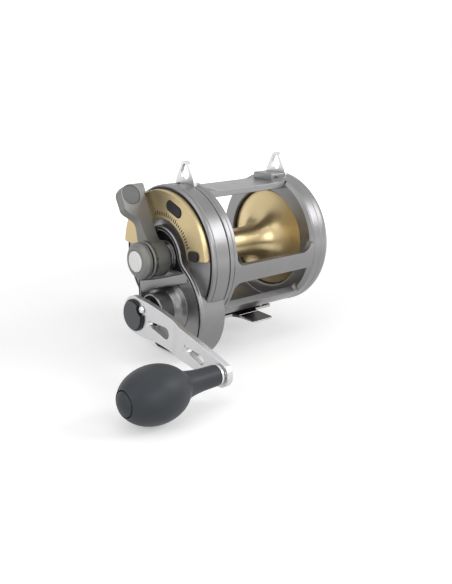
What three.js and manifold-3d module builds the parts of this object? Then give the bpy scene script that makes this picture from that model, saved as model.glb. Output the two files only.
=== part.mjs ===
// Lever-drag trolling reel, in millimetres, +Z up.
// +X points along the spool axis to the handle side, +Y points to the rod tip.
// The origin is the centre of the reel foot's seat face, which lies on the rod's reel seat.
// Inside the reel group every position is measured from the spool axis at mid-spool.
import * as THREE from 'three';
import { ConvexGeometry } from 'three/addons/geometries/ConvexGeometry.js';
import { mergeVertices } from 'three/addons/utils/BufferGeometryUtils.js';
import Module from 'manifold-3d';

const wasm = await Module();
wasm.setup();

// ---- driving dimensions -------------------------------------------------------------------

const FIT = 0.3; // clearance between pieces that touch
const EPS = 1; // how far a cutter runs past the face it cuts
const FINE = 40; // sides of large round shapes
const MEDIUM = 16;
const COARSE = 8;

// frame
const FRAME_R = 50;
const FRAME_HALF = 45.2; // half the length of the frame, ring face to ring face
const RING_HEIGHT = 13; // radial height of a ring
const LEFT_RING = 11.2; // axial thickness of the left ring
const RIGHT_RING = 6.2;
const BAR_THICKNESS = 4.8;
const BARS = {
  rear: [193, 217],
  bottom: [242, 314.5],
  front: [-17.1, -2.5],
};
const TOP_BAR_FRONT = 20; // the top bar is flat, and lies between these distances from the axis
const TOP_BAR_REAR = -12;
const TOP_BAR_DROP = 4.6; // how far its flat top lies below the ring's radius
const TOP_BAR_THICKNESS = 4.7;
const TOP_BAR_FLARE = 7; // the rise from the flat top to each ring
const FRONT_BAR_FILLETS = { left: 10, right: 6 };
const RING_BEVEL = 2.4; // the left ring leans back this far towards the windows

// reel foot
const FOOT_THICKNESS = 2;
const FOOT_LENGTH = 71;
const FOOT_TONGUE = 19;
const FOOT_ROOT = 24;
const FOOT_PLATE_LENGTH = 58; // along the spool axis
const FOOT_PLATE_WIDTH = 26;
const FOOT_SCREW_X = 22;
const FOOT_SCREW_Y = 8;

const SIDE_SCREW_ANGLES = [-12, 62, 160];

// harness lugs
const LUG_RECESS = 2.6; // how far the side plate and the cap are cut back round the lug screw
const LUG_THICKNESS = 2.4;
const LUG_TOP = 16; // height of the lug above the frame
const LUG_BASE = 21;
const LUG_EYE_R = 4.2;
const LUG_SET = 5.6; // how deep the lug reaches into the ring

// gear train
const MODULE = 1;
const PINION_TEETH = 12;
const GEAR_TEETH = 60;
const GEAR_WIDTH = 5.4;
const CRANK_ANGLE = -81.9; // direction from the spool axis to the crank axis
const RATCHET_R = 13;
const RATCHET_TEETH = 12;
const RATCHET_WIDTH = 1.6;
const RATCHET_DEPTH = 2;
const PAWL_ANGLE = 42;
const PAWL_PIN_R = 1.2;
const PAWL_CLEAR = 9; // degrees that the pawl hangs back from the ratchet at rest

// handle side plate
const CASE_WALL = 5.5;
const FRONT_WALL = 3.4;
const LOBE_WALL = 7.4;
const LOBE_FLAT_ANGLES = [180, 235, 268]; // where the lobe's rim is flattened, round the crank axis
const HUB_RIDGE_R = 22.5;
const RIDGE_FILLET = 12;
const RIDGE_WIDTH = 3.6;
const RIDGE_HEIGHT = 6.1;
const BRIDGE_INSET = 1.3;
const BRIDGE_THICKNESS = 2.2;
const TUBE_R = 12;
const TUBE_LENGTH = 19; // crank tube, from the front face of the drum
const SHELF_LENGTH = 19.5;

// shafts and bearings
const SPOOL_SHAFT_R = 3.9;
const SLEEVE_PINION_R = 6.5;
const DRIVE_SHAFT_R = 3; // the shaft's slimmer end, under the pinion and the lever
const CRANK_SHAFT_R = 4.6;
const BEARING_R = 8;
const BEARING_WIDTH = 4.7;
const PINION_BEARING_R = 8.9;

// spool
const FLANGE_THICKNESS = 2;
const ARBOR_R = 11;

// drag lever and its dial
const DIAL_THICKNESS = 4.3;
const DIAL_INNER_R = 26.9;
const DIAL_FROM = 4.5;
const DIAL_TO = 175.5;
const LEVER_ANGLE = 116; // where the lever points at rest, in the free position
const LEVER_HUB_R = 13;
const LEVER_HUB_LENGTH = 13.4;
const LEVER_DEPTH = 10;
const LEVER_REACH = 53.6;
const LEVER_HEAD_HALF = 4; // half the head's thickness, measured along its swing
const LEVER_HEAD_LENGTH = 19; // how far the head stands out from the arm's back
const PAD_R = 6.8;
const PRESET_R = 12.9;
const PRESET_LENGTH = 6.6;
const PRESET_CAP_R = 7.5;
const PRESET_CAP_RISE = 0.8; // how far the knob's disc stands out of its face
const BUTTON_ANGLE = 68.5;
const BUTTON_R = 38;
const BUTTON_TRAVEL = 1;
const STOP_ANGLE = 10;
const STOP_R = 35.6;

// crank and knob
const SLEEVE_R = 8.7;
const SLEEVE_LENGTH = 8.9;
const ARM_THICKNESS = 4.3;
const ARM_LENGTH = 92.3;
const ARM_ANGLE = -9.9;
const ARM_HUB_R = 13.4;
const ARM_END_R = 8.6;
const ARM_JOG = 2; // how far the outer half of the arm stands out
const NUT_R = 7.9;
const NUT_CAP_R = 11.2;
const CAP_SCREW_ANGLE = 32;
const KNOB_R = 17.6;
const KNOB_NECK_R = 6.7;
const KNOB_NECK = 22; // from the collar to where the egg-shaped grip begins
const KNOB_HALF = 23.5; // half the length of the grip
const KNOB_CAP_R = 7.6;
const SPINDLE_R = 3;

// left side cap
const CAP_DEPTH = 12.5;
const CAP_WALL = 2.6;
const CLICK_TEETH = 24;
const CLICK_R = 20;
const CLICK_TRAVEL = 4;
const CLICK_DEPTH = 1.4; // how deep the click tongue's tip reaches between the teeth
const CLICK_Z = 29; // height of the click button above the spool axis, in its off position
const CAP_SCREW_ANGLES = [45, 165, 285];

// ---- places worked out from the dimensions ------------------------------------------------

const AXIS_HEIGHT = FRAME_R + FOOT_THICKNESS;
const BORE_R = FRAME_R - RING_HEIGHT;
const LEFT_WINDOW = -FRAME_HALF + LEFT_RING;
const RIGHT_WINDOW = FRAME_HALF - RIGHT_RING;
const FLANGE_R = BORE_R - 2 * FIT;
const SEAM = FRAME_HALF + FIT;
const CENTRES = (MODULE * (PINION_TEETH + GEAR_TEETH)) / 2;
const CRANK_Y = CENTRES * Math.cos(radians(CRANK_ANGLE));
const CRANK_Z = CENTRES * Math.sin(radians(CRANK_ANGLE));
const GEAR_TIP_R = MODULE * (GEAR_TEETH / 2 + 0.8);
const CAVITY_R = GEAR_TIP_R + 0.8;
const LOBE_R = CAVITY_R + LOBE_WALL;
const LOBE_FLAT_REACH = CAVITY_R + 2.6; // from the crank axis to a flat
const BRIDGE_X = SEAM + BRIDGE_INSET;
const RATCHET_X = BRIDGE_X + BRIDGE_THICKNESS + FIT;
const GEAR_X = RATCHET_X + RATCHET_WIDTH + FIT;
const CASE_X = GEAR_X + GEAR_WIDTH + 0.4; // inner face of the front wall
const DRUM_FACE = CASE_X + FRONT_WALL;
const FLOOR_FACE = DRUM_FACE + 1.6; // floor inside the ridge
const RIDGE_FACE = DRUM_FACE + RIDGE_HEIGHT;
const TUBE_END = DRUM_FACE + TUBE_LENGTH;
const SPOOL_LEFT = LEFT_WINDOW - 2.9 - FLANGE_THICKNESS;
const SPOOL_RIGHT = RIGHT_WINDOW + 1 + FLANGE_THICKNESS;
const DRIVE_X = SPOOL_RIGHT + 2;
const DRIVE_THICKNESS = 2;
const PINION_X = RATCHET_X + 1;
const SLEEVE_X = TUBE_END + 2 * FIT;
const ARM_X = SLEEVE_X + SLEEVE_LENGTH + FIT;
const ARM_FACE = ARM_X + ARM_THICKNESS;
const KNOB_Y = ARM_LENGTH * Math.cos(radians(ARM_ANGLE));
const KNOB_Z = ARM_LENGTH * Math.sin(radians(ARM_ANGLE));
const COLLAR_X = ARM_FACE + ARM_JOG + FIT;
const COLLAR_LENGTH = 2.2;
const KNOB_X = COLLAR_X + COLLAR_LENGTH + FIT;
const DIAL_OUTER_R = FRAME_R - 3.1;
const DIAL_FACE = DRUM_FACE + FIT + DIAL_THICKNESS;
const LEVER_X = RIDGE_FACE + 1;
const LEVER_END = LEVER_X + LEVER_HUB_LENGTH;
const PRESET_X = LEVER_END + 2 * FIT;
const CAP_X = -SEAM;
const CAP_FACE = CAP_X - CAP_DEPTH;
const CLICK_INNER = CAP_FACE + CAP_WALL + 1;
const CAM_X = FLOOR_FACE + 2.4;
const SIDE_SCREW_R = FRAME_R - 2.9;
const CAP_SCREW_R = FRAME_R - 4.6;
const LUG_SCREW_Z = FRAME_R - 2.6;

// ---- helpers ------------------------------------------------------------------------------

function radians(degrees) {
  return (degrees * Math.PI) / 180;
}

function polar(r, degrees) {
  return [r * Math.cos(radians(degrees)), r * Math.sin(radians(degrees))];
}

// A closed geometry as a manifold solid with its faces pointing out.
function solid(geometry) {
  const bare = geometry.clone();
  bare.deleteAttribute('normal');
  bare.deleteAttribute('uv');
  const merged = mergeVertices(bare, 1e-4);
  const index = Array.from(merged.index.array);
  const triangles = [];
  for (let i = 0; i < index.length; i += 3) {
    const [a, b, c] = index.slice(i, i + 3);
    if (a !== b && b !== c && c !== a) triangles.push(a, b, c);
  }
  const vertices = merged.attributes.position.array;
  if (signedVolume(vertices, triangles) < 0) triangles.reverse();
  return new wasm.Manifold(new wasm.Mesh({
    numProp: 3,
    vertProperties: Float32Array.from(vertices),
    triVerts: Uint32Array.from(triangles),
  }));
}

function signedVolume(vertices, triangles) {
  const corner = (i) => new THREE.Vector3().fromArray(vertices, triangles[i] * 3);
  let volume = 0;
  for (let i = 0; i < triangles.length; i += 3) {
    volume += corner(i).dot(corner(i + 1).cross(corner(i + 2)));
  }
  return volume;
}

function geometryOf(manifold) {
  const mesh = manifold.getMesh();
  const geometry = new THREE.BufferGeometry();
  const positions = Float32Array.from(mesh.vertProperties);
  geometry.setAttribute('position', new THREE.BufferAttribute(positions, 3));
  geometry.setIndex(Array.from(mesh.triVerts));
  geometry.computeVertexNormals();
  return geometry;
}

// Turned about the X axis from a closed list of [x, radius].
function turned(profile, sides = MEDIUM) {
  const points = [...profile, profile[0]].map(([x, r]) => new THREE.Vector2(r, x));
  const geometry = new THREE.LatheGeometry(points, sides);
  return solid(geometry.rotateZ(-Math.PI / 2));
}

function disc(x0, x1, r, sides = MEDIUM) {
  return turned([[x0, 0], [x0, r], [x1, r], [x1, 0]], sides);
}

function ring(x0, x1, outer, inner, sides = MEDIUM) {
  return turned([[x0, inner], [x0, outer], [x1, outer], [x1, inner]], sides);
}

// Turned about the Z axis from [z, radius] and placed at x, y.
function upright(profile, x, y, sides = COARSE) {
  const points = [...profile, profile[0]].map(([z, r]) => new THREE.Vector2(r, z));
  const geometry = new THREE.LatheGeometry(points, sides).rotateX(Math.PI / 2);
  return solid(geometry.translate(x, y, 0));
}

// A shape drawn in the Y-Z plane and extruded along X.
function plate(shape, x0, x1, curveSegments = 5) {
  const options = { depth: x1 - x0, bevelEnabled: false, curveSegments };
  const geometry = new THREE.ExtrudeGeometry(shape, options);
  const across = new THREE.Matrix4().makeBasis(
    new THREE.Vector3(0, 1, 0),
    new THREE.Vector3(0, 0, 1),
    new THREE.Vector3(1, 0, 0),
  );
  return solid(geometry.applyMatrix4(across).translate(x0, 0, 0));
}

function polygon(points) {
  return new THREE.Shape(points.map(([y, z]) => new THREE.Vector2(y, z)));
}

function box(x0, x1, y0, y1, z0, z1) {
  const geometry = new THREE.BoxGeometry(x1 - x0, y1 - y0, z1 - z0);
  return solid(geometry.translate((x0 + x1) / 2, (y0 + y1) / 2, (z0 + z1) / 2));
}

function hull(points) {
  return solid(new ConvexGeometry(points.map((point) => new THREE.Vector3(...point))));
}

function moved(manifold, y, z) {
  return solid(geometryOf(manifold).translate(0, y, z));
}

function turnedBy(manifold, degrees) {
  return solid(geometryOf(manifold).rotateX(radians(degrees)));
}

// A sector of a ring in the Y-Z plane.
function sector(inner, outer, from, to) {
  const shape = new THREE.Shape();
  shape.absarc(0, 0, outer, radians(from), radians(to), false);
  shape.absarc(0, 0, inner, radians(to), radians(from), true);
  return shape;
}

function roundShape(y, z, r) {
  const shape = new THREE.Shape();
  shape.absarc(y, z, r, 0, 2 * Math.PI, false);
  return shape;
}

// A slot with round ends of two radii, from [y, z] to [y, z].
function teardrop(start, startR, end, endR) {
  const along = Math.atan2(end[1] - start[1], end[0] - start[0]);
  const length = Math.hypot(end[0] - start[0], end[1] - start[1]);
  const tilt = Math.acos((startR - endR) / length);
  const shape = new THREE.Shape();
  shape.absarc(start[0], start[1], startR, along + tilt, along - tilt + 2 * Math.PI, false);
  shape.absarc(end[0], end[1], endR, along - tilt, along + tilt, false);
  return shape;
}

// ---- gears --------------------------------------------------------------------------------

// Involute teeth, 20 degrees, with the first tooth centred on +Y.
function gearShape(teeth, tipRise) {
  const pitchR = (MODULE * teeth) / 2;
  const baseR = pitchR * Math.cos(radians(20));
  const rootR = pitchR - 1.2 * MODULE;
  const tipR = pitchR + tipRise * MODULE;
  const backlash = 0.16 / pitchR;
  const roll = (r) => Math.sqrt(Math.max(0, (r / baseR) ** 2 - 1));
  const involute = (r) => roll(r) - Math.atan(roll(r));
  const halfAt = (r) => Math.PI / (2 * teeth) + involute(pitchR) - involute(r) - backlash;
  const radii = [rootR, baseR, pitchR, tipR].filter((r) => r === rootR || r > rootR);
  const outline = [];
  for (let tooth = 0; tooth < teeth; tooth++) {
    const centre = (2 * Math.PI * tooth) / teeth;
    for (const r of radii) outline.push([r, centre - halfAt(r)]);
    for (const r of radii.slice().reverse()) outline.push([r, centre + halfAt(r)]);
  }
  return polygon(outline.map(([r, angle]) => [r * Math.cos(angle), r * Math.sin(angle)]));
}

// Saw teeth with a radial holding face on each tooth.
function sawShape(teeth, tipR, depth) {
  const outline = [];
  for (let tooth = 0; tooth < teeth; tooth++) {
    const start = (360 * tooth) / teeth;
    outline.push(polar(tipR - depth, start));
    outline.push(polar(tipR - depth, start + 72 / teeth));
    outline.push(polar(tipR, start + 330 / teeth));
    outline.push(polar(tipR, start + 359.9 / teeth));
  }
  return polygon(outline);
}

// ---- frame, lugs and foot -----------------------------------------------------------------

function frame() {
  const segments = 6;
  let body = turned([
    [-FRAME_HALF, BORE_R], [-FRAME_HALF, FRAME_R], [LEFT_WINDOW - RING_BEVEL, FRAME_R],
    [LEFT_WINDOW, FRAME_R - RING_BEVEL], [LEFT_WINDOW, BORE_R],
  ], FINE);
  body = body.add(ring(RIGHT_WINDOW, FRAME_HALF, FRAME_R, BORE_R, FINE));
  for (const [from, to] of Object.values(BARS)) {
    const bar = sector(FRAME_R - BAR_THICKNESS, FRAME_R, from, to);
    body = body.add(plate(bar, LEFT_WINDOW - RING_BEVEL - EPS, RIGHT_WINDOW + EPS, segments));
  }
  body = body.add(topBar()).add(frontBarFillets());
  const seat = -FRAME_R + FIT;
  body = body.subtract(box(
    -FOOT_PLATE_LENGTH / 2 - FIT, FOOT_PLATE_LENGTH / 2 + FIT,
    -FRAME_R, FRAME_R, -FRAME_R - EPS, seat,
  ));
  for (const side of [-1, 1]) {
    body = body.add(lugPad(side)).subtract(lugPocket(side));
    body = body.subtract(lugScrewHole(side));
  }
  for (const [x, y] of footScrewPlaces()) {
    const hole = [[seat - EPS, 0], [seat - EPS, 1.8], [seat + 4, 1.8], [seat + 4, 0]];
    body = body.subtract(upright(hole, x, y));
  }
  for (const angle of SIDE_SCREW_ANGLES) {
    const [y, z] = polar(SIDE_SCREW_R, angle);
    const shank = disc(RIGHT_WINDOW - EPS, FRAME_HALF + EPS, 1.5 + FIT, COARSE);
    const recess = disc(RIGHT_WINDOW - EPS, RIGHT_WINDOW + 2.2, 2.6, COARSE);
    body = body.subtract(moved(shank.add(recess), y, z));
  }
  for (const angle of CAP_SCREW_ANGLES) {
    const [y, z] = polar(CAP_SCREW_R, angle);
    const hole = disc(-FRAME_HALF - EPS, -FRAME_HALF + 6, 1.5 + FIT, COARSE);
    body = body.subtract(moved(hole, y, z));
  }
  return body;
}

// The flat bar under the harness lugs, with its top rising to the rings at both ends.
function topBar() {
  const top = FRAME_R - TOP_BAR_DROP;
  const low = top - TOP_BAR_THICKNESS;
  const [left, right] = [LEFT_WINDOW - RING_BEVEL - EPS, RIGHT_WINDOW + EPS];
  const side = [
    [left, low], [right, low], [right, top + 2.6], [right - 2, top + 1.1], [right - TOP_BAR_FLARE, top],
    [LEFT_WINDOW + TOP_BAR_FLARE, top], [LEFT_WINDOW + 2, top + 1.1], [LEFT_WINDOW, top + 2.6],
    [left, top + 2.6],
  ];
  const geometry = new THREE.ExtrudeGeometry(polygon(side), {
    depth: TOP_BAR_FRONT - TOP_BAR_REAR,
    bevelEnabled: false,
  });
  const bar = solid(geometry.rotateX(Math.PI / 2).translate(0, TOP_BAR_FRONT, 0));
  return bar.intersect(disc(left, right, FRAME_R, FINE));
}

// Rounded corners where the front bar meets the two rings.
function frontBarFillets() {
  const left = LEFT_WINDOW - RING_BEVEL - EPS;
  const shell = ring(left, RIGHT_WINDOW + EPS, FRAME_R, FRAME_R - BAR_THICKNESS, FINE);
  const fillets = [];
  for (const [end, edge, r] of [
    [-1, 1, FRONT_BAR_FILLETS.left], [1, 1, FRONT_BAR_FILLETS.right], [1, -1, FRONT_BAR_FILLETS.right],
  ]) {
    const ringFace = end > 0 ? RIGHT_WINDOW : LEFT_WINDOW;
    const centre = ringFace - end * r;
    const x = [centre, end > 0 ? RIGHT_WINDOW + EPS : left].sort((a, b) => a - b);
    const z = [0, -edge * (r + 0.4)].sort((a, b) => a - b);
    const corner = box(x[0], x[1], BORE_R, FRAME_R + 2, z[0], z[1]);
    const post = new THREE.CylinderGeometry(r, r, 30, COARSE).translate(centre, BORE_R + 8, 0);
    const around = edge > 0 ? BARS.front[1] : BARS.front[0];
    const turn = around + (edge * 180 * r) / (Math.PI * FRAME_R);
    fillets.push(turnedBy(corner.subtract(solid(post)), turn).intersect(shell));
  }
  return fillets.reduce((all, fillet) => all.add(fillet));
}

// The thickened seat on top of the frame behind each harness lug.
function lugPad(side) {
  const near = side > 0 ? RIGHT_WINDOW : -FRAME_HALF;
  const far = side > 0 ? FRAME_HALF : -FRAME_HALF + 16;
  return box(near, far, -9, 11, FRAME_R - TOP_BAR_DROP - 2, FRAME_R + 0.6);
}

function lugPocket(side) {
  const inner = FRAME_HALF - LUG_THICKNESS - FIT;
  const width = LUG_BASE / 2 + FIT;
  const x = side > 0 ? [inner, FRAME_HALF + EPS] : [-FRAME_HALF - EPS, -inner];
  return box(x[0], x[1], 1 - width, 1 + width, FRAME_R - LUG_SET - FIT, FRAME_R + 5);
}

function lugScrewHole(side) {
  const x = side > 0 ? [FRAME_HALF - 5.6, FRAME_HALF + EPS] : [-FRAME_HALF - EPS, -FRAME_HALF + 5.6];
  return moved(disc(x[0], x[1], 1.2 + FIT, COARSE), 1, LUG_SCREW_Z);
}

function harnessLug(side) {
  const base = FRAME_R - LUG_SET;
  const half = LUG_BASE / 2;
  const top = FRAME_R + LUG_TOP;
  const crown = 5;
  const shape = new THREE.Shape();
  shape.moveTo(1 - half, base);
  shape.lineTo(1 + half, base);
  shape.lineTo(1 + half, FRAME_R + 1.5);
  shape.lineTo(1 + crown, top - crown);
  shape.absarc(1, top - crown - 0.6, crown, radians(15), radians(165), false);
  shape.lineTo(1 - half, FRAME_R + 1.5);
  const eye = teardrop([1, FRAME_R + 6.4], LUG_EYE_R, [1, FRAME_R + 10.6], 2.4);
  shape.holes.push(eye);
  shape.holes.push(roundShape(1, LUG_SCREW_Z, 1.2 + FIT));
  const outer = FRAME_HALF;
  const inner = outer - LUG_THICKNESS;
  return side > 0 ? plate(shape, inner, outer, 6) : plate(shape, -outer, -inner, 6);
}

function lugScrew(side) {
  const head = SEAM + LUG_RECESS;
  const body = turned([
    [FRAME_HALF - 5, 0], [FRAME_HALF - 5, 1.2], [head, 1.2], [head, 2.5], [head + 1, 2.2], [head + 1.5, 0],
  ], COARSE);
  const geometry = geometryOf(body);
  if (side < 0) geometry.rotateZ(Math.PI);
  return solid(geometry.translate(0, 1, LUG_SCREW_Z));
}

// The hollow in a side plate's rim where a lug screw's head lies.
function lugScrewRecess(side) {
  const start = SEAM + LUG_RECESS - FIT;
  const head = moved(disc(start, start + 4.4, 3, COARSE), 1, LUG_SCREW_Z);
  const open = box(start, start + 4.4, -2, 4, LUG_SCREW_Z, FRAME_R + 2);
  const shank = moved(disc(SEAM - EPS, start + EPS, 1.2 + FIT, COARSE), 1, LUG_SCREW_Z);
  const cut = head.add(open).add(shank);
  const geometry = geometryOf(cut);
  if (side < 0) geometry.scale(-1, 1, 1);
  return solid(geometry);
}

function footScrewPlaces() {
  const signs = [[-1, -1], [-1, 1], [1, -1], [1, 1]];
  return signs.map(([a, b]) => [a * FOOT_SCREW_X, b * FOOT_SCREW_Y]);
}

// Stamped foot: a wide plate under the frame and a tongue that the rod's hoods hold.
function reelFoot() {
  const bottom = -AXIS_HEIGHT;
  const top = bottom + FOOT_THICKNESS;
  const halfPlate = FOOT_PLATE_WIDTH / 2;
  const halfLength = FOOT_LENGTH / 2;
  const wide = box(-FOOT_PLATE_LENGTH / 2, FOOT_PLATE_LENGTH / 2, -halfPlate, halfPlate, bottom, top);
  const outline = new THREE.Shape();
  outline.moveTo(FOOT_ROOT / 2, 0);
  outline.lineTo(FOOT_ROOT / 2, halfPlate);
  outline.lineTo(FOOT_TONGUE / 2, halfPlate + 5);
  outline.lineTo(FOOT_TONGUE / 2, halfLength - 3);
  outline.quadraticCurveTo(FOOT_TONGUE / 2, halfLength, FOOT_TONGUE / 2 - 3, halfLength);
  outline.lineTo(3 - FOOT_TONGUE / 2, halfLength);
  outline.quadraticCurveTo(-FOOT_TONGUE / 2, halfLength, -FOOT_TONGUE / 2, halfLength - 3);
  outline.lineTo(-FOOT_TONGUE / 2, halfPlate + 5);
  outline.lineTo(-FOOT_ROOT / 2, halfPlate);
  outline.lineTo(-FOOT_ROOT / 2, 0);
  const options = { depth: FOOT_THICKNESS, bevelEnabled: false, curveSegments: 4 };
  const front = new THREE.ExtrudeGeometry(outline, options).translate(0, 0, bottom);
  const rear = front.clone().rotateZ(Math.PI);
  let body = wide.add(solid(front)).add(solid(rear));
  for (const side of [-1, 1]) {
    const ramp = [
      [side * (halfLength + EPS), bottom + 1], [side * (halfLength + EPS), top + EPS],
      [side * (halfPlate + 6), top + EPS], [side * (halfPlate + 6), top],
    ];
    body = body.subtract(plate(polygon(ramp), -FOOT_ROOT, FOOT_ROOT));
  }
  for (const [x, y] of footScrewPlaces()) body = body.subtract(footScrewShape(x, y, FIT));
  return body;
}

function footScrewShape(x, y, grow) {
  const bottom = -AXIS_HEIGHT - (grow > 0 ? EPS : -0.2);
  const neck = -AXIS_HEIGHT + 1.6;
  const tip = -FRAME_R + (grow > 0 ? EPS : 3.6);
  return upright([
    [bottom, 0], [bottom, 2.8 + grow], [-AXIS_HEIGHT + 0.3, 2.8 + grow],
    [neck, 1.5 + grow], [tip, 1.5 + grow], [tip, 0],
  ], x, y);
}

// ---- handle side plate and what it carries ------------------------------------------------

// The gear case outline: a hub circle and a lobe circle joined by hollow fillets.
function caseShape(hubR, lobeR, fillet) {
  const along = ((hubR + fillet) ** 2 - (lobeR + fillet) ** 2 + CENTRES ** 2) / (2 * CENTRES);
  const across = Math.sqrt((hubR + fillet) ** 2 - along ** 2);
  const hubTurn = Math.atan2(-along, across);
  const lobeTurn = Math.atan2(CENTRES - along, across);
  const shape = new THREE.Shape();
  shape.absarc(0, -CENTRES, lobeR, Math.PI - lobeTurn, 2 * Math.PI + lobeTurn, false);
  shape.absarc(across, -along, fillet, lobeTurn + Math.PI, hubTurn + Math.PI, true);
  shape.absarc(0, 0, hubR, hubTurn, Math.PI - hubTurn, false);
  shape.absarc(-across, -along, fillet, -hubTurn, -lobeTurn, true);
  return shape;
}

function casePlate(hubR, lobeR, fillet, x0, x1) {
  const turn = CRANK_ANGLE + 90;
  const outline = caseShape(hubR, lobeR, fillet).extractPoints(10).shape;
  const reach = LOBE_FLAT_REACH - (LOBE_R - lobeR);
  return turnedBy(plate(polygon(flattened(outline, -CENTRES, reach, turn)), x0, x1), turn);
}

// The gear case's lobe, round but for its flats. It is drawn about the crank axis.
function lobePlate(x0, x1) {
  const shape = new THREE.Shape();
  shape.absarc(0, 0, LOBE_R, 0, 2 * Math.PI, false);
  const outline = shape.extractPoints(FINE / 2).shape;
  return plate(polygon(flattened(outline, 0, LOBE_FLAT_REACH, 0)), x0, x1);
}

// Draws an outline's points in to the lobe's flats.
function flattened(outline, centreZ, reach, turn) {
  return outline.map((point) => {
    let y = point.x;
    let z = point.y - centreZ;
    for (const angle of LOBE_FLAT_ANGLES) {
      const [a, b] = polar(1, angle - turn);
      const over = Math.max(0, y * a + z * b - reach);
      y -= over * a;
      z -= over * b;
    }
    return [y, z + centreZ];
  });
}

function drum() {
  return turned([
    [SEAM, 0], [SEAM, FRAME_R], [DRUM_FACE - 1.4, FRAME_R], [DRUM_FACE - 0.4, FRAME_R - 0.6],
    [DRUM_FACE, FRAME_R - 1.8], [DRUM_FACE, 0],
  ], FINE);
}

function handleSidePlate() {
  let body = drum();
  body = body.add(moved(lobePlate(SEAM, RIDGE_FACE - 1.2), CRANK_Y, CRANK_Z));
  body = body.add(casePlate(HUB_RIDGE_R, LOBE_R, RIDGE_FILLET, CASE_X + EPS, RIDGE_FACE - 1.2));
  body = body.add(casePlate(
    HUB_RIDGE_R - 0.9, LOBE_R - 0.9, RIDGE_FILLET + 0.9, RIDGE_FACE - 1.4, RIDGE_FACE,
  ));
  const well = casePlate(
    HUB_RIDGE_R - RIDGE_WIDTH, LOBE_R - RIDGE_WIDTH, RIDGE_FILLET + RIDGE_WIDTH,
    FLOOR_FACE, RIDGE_FACE + EPS,
  );
  body = body.subtract(well);
  body = body.add(moved(disc(CASE_X + EPS, TUBE_END, TUBE_R, MEDIUM), CRANK_Y, CRANK_Z));
  const foot = turned([
    [CASE_X + EPS, 0], [CASE_X + EPS, TUBE_R + 7], [FLOOR_FACE + 0.4, TUBE_R + 7],
    [FLOOR_FACE + 2.2, TUBE_R + 3], [FLOOR_FACE + 5.6, TUBE_R + 0.6], [FLOOR_FACE + 5.6, 0],
  ]);
  body = body.add(moved(foot, CRANK_Y, CRANK_Z));
  body = body.add(shelf());
  body = body.add(disc(CASE_X + EPS, FLOOR_FACE + 0.6, 11.5, MEDIUM));
  body = body.subtract(caseCavity());
  body = body.subtract(disc(CASE_X - EPS, RIDGE_FACE, BEARING_R - 0.8, MEDIUM));
  body = body.subtract(disc(CASE_X - EPS, CASE_X + 4.3, PINION_BEARING_R + FIT, MEDIUM));
  const tubeBore = disc(CASE_X - EPS, TUBE_END + EPS, BEARING_R + FIT, MEDIUM);
  body = body.subtract(moved(tubeBore, CRANK_Y, CRANK_Z));
  body = body.subtract(buttonPocket());
  body = body.subtract(lugScrewRecess(1));
  body = body.subtract(stopPeg(FIT));
  for (const angle of SIDE_SCREW_ANGLES) {
    const [y, z] = polar(SIDE_SCREW_R, angle);
    body = body.subtract(moved(disc(SEAM - EPS, SEAM + 7.5, 1.5 + FIT, COARSE), y, z));
  }
  for (const [y, z] of bridgeScrewPlaces()) {
    const hole = disc(BRIDGE_X, BRIDGE_X + BRIDGE_THICKNESS + 6.5, 1.5 + FIT, COARSE);
    body = body.subtract(moved(hole, y, z));
  }
  return body;
}

// Drum and gear cavities, open towards the frame.
function caseCavity() {
  const drumSpace = disc(SEAM - EPS, CASE_X, FRAME_R - CASE_WALL, FINE);
  const gearSpace = moved(disc(SEAM - EPS, CASE_X, CAVITY_R, FINE), CRANK_Y, CRANK_Z);
  let space = drumSpace.add(gearSpace);
  for (const [y, z] of bridgeScrewPlaces()) {
    space = space.subtract(moved(disc(BRIDGE_X + BRIDGE_THICKNESS + FIT, CASE_X + EPS, 3.2, COARSE), y, z));
  }
  return space;
}

function bridgeScrewPlaces() {
  const r = FRAME_R - CASE_WALL - 3.2;
  return [polar(r, 35), polar(r, 150)];
}

// Slanting hood over the crank tube: its face runs from the ridge out to a tip beside the lever's hub.
function shelf() {
  const root = CASE_X + EPS;
  const end = DRUM_FACE + SHELF_LENGTH;
  const tip = [
    [end, CRANK_Y - 13.4, CRANK_Z + 18.9], [end - 0.7, CRANK_Y - 11.8, CRANK_Z + 10.8],
    [root, CRANK_Y - 19, CRANK_Z + 18.4], [root, CRANK_Y - 19, CRANK_Z + 10],
  ];
  const middle = [
    [end - 10.3, CRANK_Y + 5.9, CRANK_Z + 24.2], [end - 10.3, CRANK_Y + 6.1, CRANK_Z + 17.4],
    [root, CRANK_Y + 1, CRANK_Z + 19], [root, CRANK_Y + 1, CRANK_Z + 13.6],
  ];
  const far = [
    [FLOOR_FACE + 0.6, CRANK_Y + 19, CRANK_Z + 28], [FLOOR_FACE + 0.6, CRANK_Y + 19.4, CRANK_Z + 20.2],
    [root, CRANK_Y + 19, CRANK_Z + 28], [root, CRANK_Y + 19.4, CRANK_Z + 20.2],
  ];
  return hull([...tip, ...middle]).add(hull([...middle, ...far]));
}

// Seat of the oblong button: a pocket through the drum face.
function buttonPocket() {
  return buttonBody(FIT, CASE_X + 1, DRUM_FACE + EPS);
}

function buttonBody(grow, x0, x1) {
  const half = 4.6;
  const start = polar(BUTTON_R, BUTTON_ANGLE);
  const along = polar(half, BUTTON_ANGLE - 90);
  const a = [start[0] - along[0], start[1] - along[1]];
  const b = [start[0] + along[0], start[1] + along[1]];
  return plate(teardrop(a, 3.8 + grow, b, 3.8 + grow), x0, x1, 6);
}

function strikeButton() {
  return buttonBody(0, DRUM_FACE - 0.4, DIAL_FACE + 0.8);
}

function strikeSpring() {
  const [y, z] = polar(BUTTON_R, BUTTON_ANGLE);
  return moved(ring(CASE_X + 1 + FIT, DRUM_FACE - 0.4 - BUTTON_TRAVEL - FIT, 2.4, 1.5, COARSE), y, z);
}

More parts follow.
